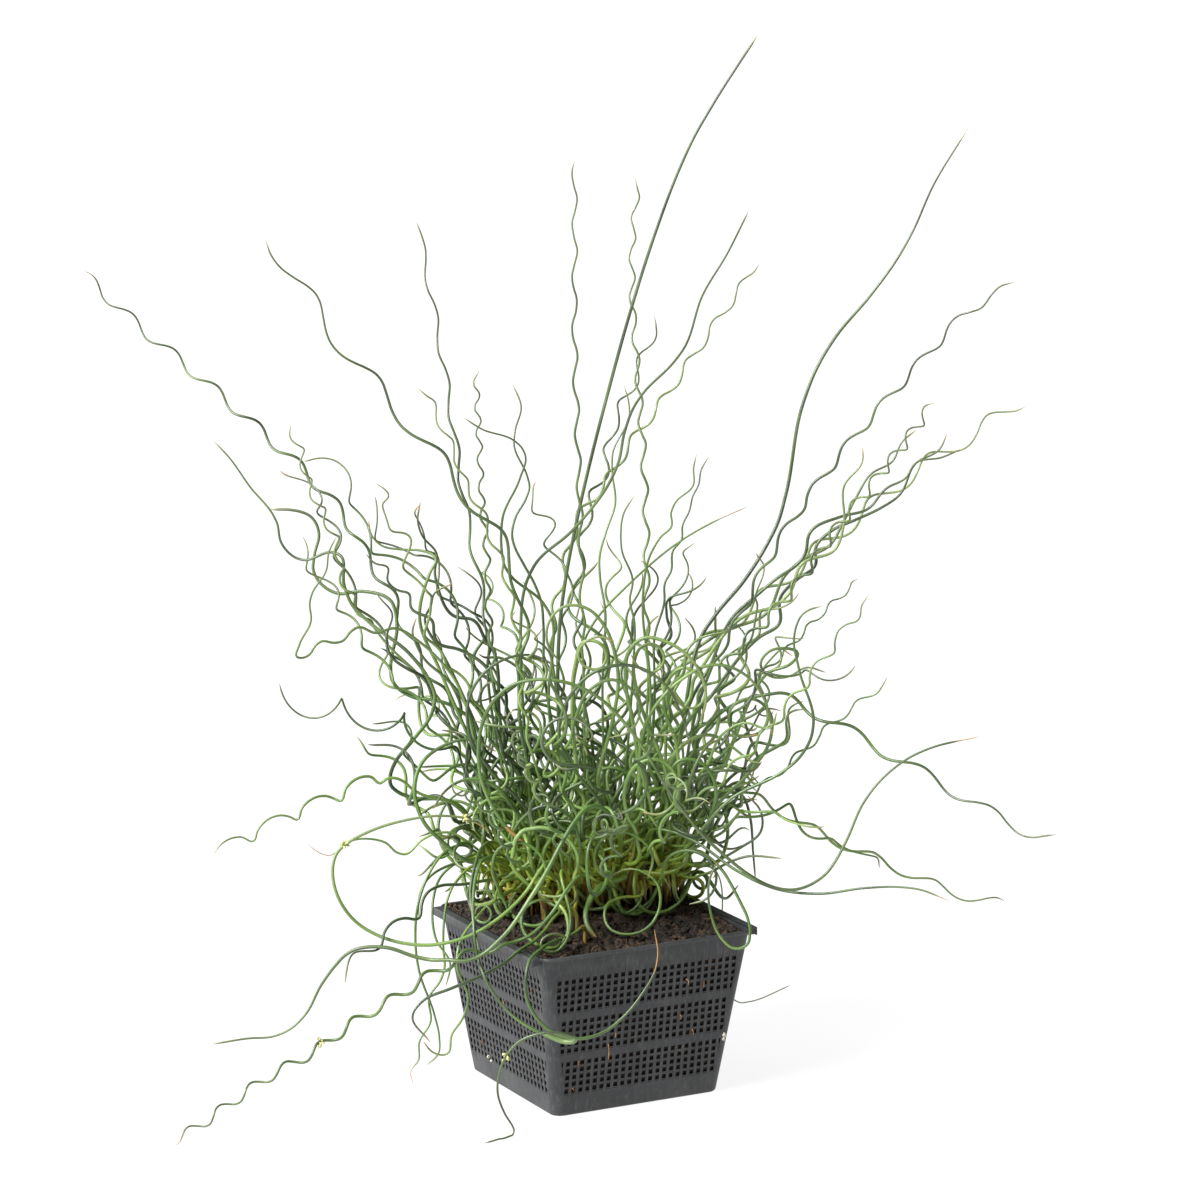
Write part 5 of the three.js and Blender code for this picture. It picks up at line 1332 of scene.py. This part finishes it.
dice = random.Random(29)
heart = [springy(k) for k in range(HEART_CULMS)]
heart += [open_ring(k) for k in range(LOW_CURLS + HIGH_CURLS)]
plant_tufts([
    (path, dice.uniform(2.7, 3.4), dice.uniform(1.3, 2.0), dice.uniform(-0.25, 0.45), dice.uniform(-6, 3))
    for path in heart], HEART_SPAN, "rush_heart_tuft")

# ---- Sheaths and stubs ----------------------------------------------------------------------
# The foot of nearly every culm stands in the papery sheath that it grew out of, brown, split and
# torn off at its top. Between them are the straw stubs of culms that died back.

SHEATHED = 0.7  # of all culms
SHORTEST_SHEATH, LONGEST_SHEATH = 7, 13  # in points of the culm's path
STUBS = 70
STUB_STEP = 3.0
STUB_ROUNDS = 8
SHEATH_FACETS = 7
SHEATH_WALL = 0.2
TORN = 5.0  # how far its torn rim rises and falls

# Dead rush sheath: papery and fibrous, dark brown in the soil and tan to rust above it, with a
# dull sheen.
papery, tree, _ = new_material("papery_brown_sheath")
from_root, tone = (
    add_node(tree, "Attribute", attribute_name=layer).outputs["Fac"] for layer in ("from_root", "tone"))
spoke = add_node(tree, "Attribute", attribute_name="spoke").outputs["Vector"]
climb = add_node(tree, "MapRange", {
    "Value": from_root, "From Min": 0.0, "From Max": 34.0, "To Max": 0.5})
hue = add_node(tree, "Math", {0: climb, 1: tone}, operation="ADD")
brown = add_node(tree, "ValToRGB", {"Fac": hue}, [
    (0.0, "#1d140a"), (0.2, "#5a431c"), (0.45, "#94762f"), (0.7, "#b29c48"), (1.0, "#9ea244")])
fibre = add_node(tree, "TexNoise", {
    "Vector": spoke, "Scale": 4.0, "Detail": 3.0})  # fibres some 0.5 mm apart
fibre_mask = add_node(tree, "MapRange", {
    "Value": fibre, "From Min": 0.45, "From Max": 0.65, "To Max": 0.6})
fibrous = add_node(tree, "MixRGB", {
    "Fac": fibre_mask, "Color1": brown, "Color2": paint("#a08a70")}, blend_type="MULTIPLY")
relief = add_node(tree, "Bump", {"Height": fibre, "Strength": 0.5, "Distance": 0.0003})
paper = add_node(tree, "BsdfPrincipled", {"Base Color": fibrous, "Roughness": 0.68, "Normal": relief})
add_node(tree, "OutputMaterial", {"Surface": paper})

dice = random.Random(61)
sheaths = bmesh.new()
for path, radii in feet:
    if dice.random() > SHEATHED:
        continue
    count = dice.randint(SHORTEST_SHEATH, min(LONGEST_SHEATH, len(path)))
    widths = [r + SHEATH_WALL + 0.5 * (i / count) ** 3 for i, r in enumerate(radii[:count])]
    sheath = grow_rod(path[:count], widths, SHEATH_FACETS, dice.uniform(0.0, 0.5), 0)
    caps = [f for f in sheath.faces if len(f.verts) > 4]
    bmesh.ops.delete(sheath, geom=caps, context="FACES_ONLY")
    from_tip = sheath.verts.layers.float["to_tip"]
    way_round = sheath.verts.layers.float_vector["spoke"]
    heading = (path[count - 1] - path[count - 3]).normalized()
    for point in sheath.verts:
        if point[from_tip] < TINY:
            point.co += heading * (TORN * point[way_round].x + dice.uniform(-1.2, 1.2))
    join(sheaths, sheath)
finish_piece(thicken(sheaths, SHEATH_WALL, False), "rush_dead_sheaths", papery)

stubs = bmesh.new()
for k in range(STUBS):
    root, bearing, reach = heart_root(k + 0.37, STUBS, dice)
    points = root_points(*root)
    lean = compass(bearing) * dice.uniform(-0.1, 0.5)
    tall = dice.uniform(6, 42)
    points.append(points[-1] + (lean + UP).normalized() * tall)
    path = smooth_line(points, STUB_STEP)
    radii = [dice.uniform(0.9, 1.6)] * len(path)
    bend_clear(path, radii, STUB_ROUNDS)
    standing.extend(zip(path, radii))
    join(stubs, grow_rod(path, radii, SHEATH_FACETS, dice.uniform(0.1, 0.55), 0))
finish_piece(stubs, "rush_straw_stubs", papery)

# ---- Florets and dried sleeves --------------------------------------------------------------
# A few culms carry a tight side cluster of pale florets, each a tiny papery teardrop. One culm
# swells into a fleshy green bract where it turns, and another is wrapped in a straw sleeve.

FLORET_CLUSTERS = [  # culm, millimetres from its foot, florets
    ("left_low_loop", 306, 12), ("front_trailing", 351, 13), ("front_left_trail", 355, 11),
    ("right_tall_arc", 135, 14), ("left_low_loop", 395, 10), ("left_fine_wave", 66, 12),
    ("back_reach_middle", 150, 12), ("right_stepped", 118, 9),
]
FLORET_RADIUS = 0.85
FLORET_LENGTH = 1.9  # in widths
SLEEVE = ("front_crossing", 92, 113, 0.05, 0.1)  # culm, from, to, extra radius at ends and middle
BRACT = ("front_trailing", 262, 297, 0.15, 0.75)
SNUG = 0.05  # extra radius where either closes round the culm
SLEEVE_FACETS = 10


def point_along(path, distance):
    """The index of the point this far along a path."""
    run = 0.0
    for i in range(1, len(path)):
        run += (path[i] - path[i - 1]).length
        if run >= distance:
            return i
    return len(path) - 1


def finish_sleeve(name, culm, start, end, at_ends, at_middle, tone, to_tip):
    """A second skin round a stretch of a culm: straw where it counts as near its tip, or green."""
    path, radii = long_culms[culm]
    first, last = point_along(path, start), point_along(path, end)
    length = last - first
    widths = []
    for i in range(length + 1):
        belly = math.sin(math.pi * i / length)
        widths.append(radii[first + i] + at_ends + (at_middle - at_ends) * belly)
    widths[0] = radii[first] + SNUG
    widths[-1] = radii[last] + SNUG
    skin = grow_rod(path[first:last + 1], widths, SLEEVE_FACETS, tone, 100, start, to_tip)
    finish_piece(skin, name, rush)


# Papery floret: pale straw-green scales with browned tips, quite matt.
scales, tree, place = new_material("pale_papery_floret")
speck = add_node(tree, "TexNoise", {"Vector": place, "Scale": 900.0, "Detail": 2.0})
pale = add_node(tree, "ValToRGB", {"Fac": speck}, [
    (0.35, "#8f9148"), (0.5, "#c3c583"), (0.68, "#d9d6a0"), (0.8, "#8d6a3a")])
dull = add_node(tree, "BsdfPrincipled", {"Base Color": pale, "Roughness": 0.75})
add_node(tree, "OutputMaterial", {"Surface": dull})

dice = random.Random(83)
florets = bmesh.new()
for culm, distance, count in FLORET_CLUSTERS:
    path, radii = long_culms[culm]
    i = point_along(path, distance)
    along = (path[i + 1] - path[i - 1]).normalized()
    cluster = bmesh.new()
    for _ in range(count):
        spread = Vector([dice.gauss(0, 1) for _ in range(3)])
        spread = (spread - 0.5 * spread.dot(along) * along).normalized()
        lie = (spread + 0.6 * along).to_track_quat("Z", "Y").to_matrix().to_4x4()
        size = FLORET_RADIUS * dice.uniform(0.8, 1.2)
        stretch = Matrix.Diagonal((1.0, 1.0, FLORET_LENGTH, 1.0))
        reach = radii[i] + 1.3 * size
        middle = path[i] + spread * reach + along * dice.uniform(-1.6, 1.6)
        bmesh.ops.create_icosphere(
            cluster, subdivisions=2, radius=size, matrix=Matrix.Translation(middle) @ lie @ stretch)
    join(florets, cluster)
finish_piece(florets, "rush_florets", scales)

finish_sleeve("rush_straw_sleeves", *SLEEVE, 0.3, 0)
finish_sleeve("rush_bract", *BRACT, 0.25, 150)

# ---- Loose bits -----------------------------------------------------------------------------
# Root tips grow out through the basket's holes and dry to orange or tan. A few grains of perlite
# show on the soil and through the holes, and fibres of root and bark lie on the soil.

ROOT_TIPS = [  # x, y and height on the wall, hanging length, sideways lean, thickness
    (-27.4, -72.6, 50.0, 11.0, 0.10, 0.9), (-22.0, -73.6, 58.0, 3.0, -0.3, 0.7),
    (32.3, -78.4, 90.5, 3.5, 0.5, 0.9), (46.3, -78.0, 87.0, 4.0, -0.4, 0.9),
    (39.6, -73.0, 51.5, 4.0, 0.3, 0.9), (28.8, -74.8, 64.5, 3.5, 0.2, 0.7),
    (-50.6, -71.5, 41.0, 4.0, 0.1, 0.7), (-53.9, -68.9, 20.9, 2.5, 0.6, 0.7),
    (-76.2, -9.5, 72.0, 3.0, 0.4, 0.8), (-79.0, -57.4, 93.8, 2.5, -0.4, 0.8),
    (-70.0, 40.0, 29.0, 4.0, 0.2, 0.8), (12.0, 78.6, 91.2, 5.0, 0.3, 0.8),
    (-36.0, 74.2, 60.1, 6.0, -0.3, 0.9), (75.2, 22.0, 65.3, 5.0, 0.4, 0.8),
    (71.0, -30.0, 34.2, 3.0, 0.2, 0.8),
]
PERLITE = [  # x, y, height, radius: the lower ones show through the basket's holes
    (66.4, -72.0, 43.6, 1.7), (66.0, -71.6, 40.4, 1.3), (-68.6, 32.0, 18.5, 1.3),
    (-68.4, 27.5, 16.6, 1.1), (48.0, -49.0, 119.2, 1.2), (70.0, 8.0, 119.3, 1.0),
    (20.0, 70.0, 119.4, 1.3), (-66.0, -20.0, 119.2, 1.0),
]
SOIL_FIBRES = 110
FIBRE_RUN = 3.6  # between a fibre's bends
TIP_STEP, FIBRE_STEP = 0.8, 1.4
TIP_FACETS, FIBRE_FACETS = 6, 4

# Dry root: a thin dull thread, dark brown where it lies on the soil and rust to tan where it
# hangs in the air. Its tone tells which.
dry_root, tree, place = new_material("dry_rust_root")
patch = add_node(tree, "TexNoise", {"Vector": place, "Scale": 60.0, "Detail": 3.0})
aired = add_node(tree, "Attribute", attribute_name="tone").outputs["Fac"]
umber = add_node(tree, "ValToRGB", {"Fac": patch}, [
    (0.35, "#2e1e12"), (0.5, "#4f3823"), (0.65, "#7b6344")])
rust = add_node(tree, "ValToRGB", {"Fac": patch}, [
    (0.35, "#6d4424"), (0.5, "#99602f"), (0.65, "#b98d55")])
thread_skin = add_node(tree, "MixRGB", {"Fac": aired, "Color1": umber, "Color2": rust})
threads = add_node(tree, "BsdfPrincipled", {"Base Color": thread_skin, "Roughness": 0.8})
add_node(tree, "OutputMaterial", {"Surface": threads})

# Perlite: puffed volcanic glass, chalk white with grey pores, fully matt.
puffed, tree, place = new_material("white_perlite")
pores = add_node(tree, "TexNoise", {"Vector": place, "Scale": 1500.0, "Detail": 2.0})
chalk = add_node(tree, "ValToRGB", {"Fac": pores}, [(0.35, "#8f8b7c"), (0.55, "#d8d4c4")])
stone = add_node(tree, "BsdfPrincipled", {"Base Color": chalk, "Roughness": 0.95})
add_node(tree, "OutputMaterial", {"Surface": stone})

threads_out = bmesh.new()
for x, y, height, drop, lean, thick in ROOT_TIPS:
    at = Vector((x, y, height))
    outward = off_wall(x, y)
    sideways = square_to(outward) * lean
    points = [
        at - 3.0 * outward, at + 0.3 * outward, at + 1.1 * outward - 0.25 * drop * UP + sideways,
        at + 0.7 * outward - drop * UP + 2 * sideways]
    path = smooth_line(points, TIP_STEP)
    radii = [thick / 2 * (1 - 0.5 * i / len(path)) for i in range(len(path))]
    join(threads_out, grow_rod(path, radii, TIP_FACETS, 1, 0))
for _ in range(SOIL_FIBRES):
    x, y = (dice.uniform(-1, 1) * (top_half - 6) for _ in range(2))
    bearing = dice.uniform(0, math.tau)
    points = []
    for _ in range(4):
        level = soil_height(x, y) + crumble(x, y) + dice.uniform(0.1, 0.9)
        points.append(Vector((x, y, level)))
        bearing += dice.gauss(0, 0.6)
        x = max(-top_half + 3, min(top_half - 3, x + FIBRE_RUN * math.cos(bearing)))
        y = max(-top_half + 3, min(top_half - 3, y + FIBRE_RUN * math.sin(bearing)))
    path = smooth_line(points, FIBRE_STEP)
    join(threads_out, grow_rod(path, [dice.uniform(0.18, 0.42)] * len(path), FIBRE_FACETS, 0, 0))
finish_piece(threads_out, "root_threads", dry_root, (), STEM_SMOOTH_ANGLE)

grains = bmesh.new()
for x, y, height, size in PERLITE:
    lump = bmesh.ops.create_icosphere(
        grains, subdivisions=2, radius=size, matrix=Matrix.Translation((x, y, height)))["verts"]
    shift_at_random(lump, 0.22 * size, dice)
finish_piece(grains, "perlite_grains", puffed)

# ---- Stage ----------------------------------------------------------------------------------
# A plain white table in soft light, brightest from the left of the camera. None of it belongs to
# the plant or its basket.

CAMERA_TURN = math.radians(-27.9)
CAMERA_RISE = math.radians(11.74)
CAMERA_DISTANCE = 3375.0
LENS, SENSOR = 144.0, 36.0
AIM_ACROSS, AIM_HEIGHT = 4.2, 351.7
FLOOR_HALF = 40.0  # metres, as are the next two
LIGHT_DISTANCE = 3.0
LIGHT_AIM = 0.3
LIGHTS = [  # name, turn from the camera, rise, spread, strength
    ("left_softbox", -52, 40, 28, 5.8),
    ("left_rear_softbox", -112, 26, 50, 1.9),
    ("overhead_softbox", -20, 76, 60, 0.9),
]


def stand_off(thing, turn, rise, distance, aim):
    """Stands a camera or a light this many metres from what it is aimed at, turned and raised."""
    away = Vector((math.sin(turn) * math.cos(rise), -math.cos(turn) * math.cos(rise), math.sin(rise)))
    thing.location = aim + away * distance
    thing.rotation_euler = (-away).to_track_quat("-Z", "Y").to_euler()


lens = bpy.data.cameras.new("camera")
lens.lens = LENS
lens.sensor_width = SENSOR
lens.clip_end = 100.0
camera = set_out("camera", lens)
aim = (AIM_ACROSS * compass(CAMERA_TURN) + AIM_HEIGHT * UP) * MM
stand_off(camera, CAMERA_TURN, CAMERA_RISE, CAMERA_DISTANCE * MM, aim)
bpy.context.scene.camera = camera

# The floor is a sheet of opal acrylic lit from below, as on a light table: it looks white, and
# shadows on it stay faint.
opal, tree, place = new_material("matt_opal_acrylic_sheet")
mottle = add_node(tree, "TexNoise", {"Vector": place, "Scale": 3.0, "Detail": 2.0})
white = add_node(tree, "ValToRGB", {"Fac": mottle}, [(0.3, "#585858"), (0.7, "#5c5c5c")])
matt = add_node(tree, "BsdfPrincipled", {
    "Base Color": white, "Roughness": 0.9, "Emission Color": (1.0, 1.0, 1.0, 1.0),
    "Emission Strength": 0.9})
add_node(tree, "OutputMaterial", {"Surface": matt})
ground = bmesh.new()
bmesh.ops.create_grid(ground, x_segments=4, y_segments=4, size=FLOOR_HALF)
floor = set_out("studio_floor", to_mesh(ground, "studio_floor"))
floor.data.materials.append(opal)

for name, turn, rise, spread, strength in LIGHTS:
    lamp = bpy.data.lights.new(name, "SUN")
    lamp.angle = math.radians(spread)
    lamp.energy = strength
    bearing = CAMERA_TURN + math.radians(turn)
    stand_off(set_out(name, lamp), bearing, math.radians(rise), LIGHT_DISTANCE, LIGHT_AIM * UP)

world = bpy.data.worlds.new("white_studio")
bpy.context.scene.world = world
world.use_nodes = True
backdrop = world.node_tree.nodes["Background"]
backdrop.inputs["Color"].default_value = (1, 1, 1, 1)
backdrop.inputs["Strength"].default_value = 0.06
bpy.context.scene.view_settings.view_transform = "Standard"
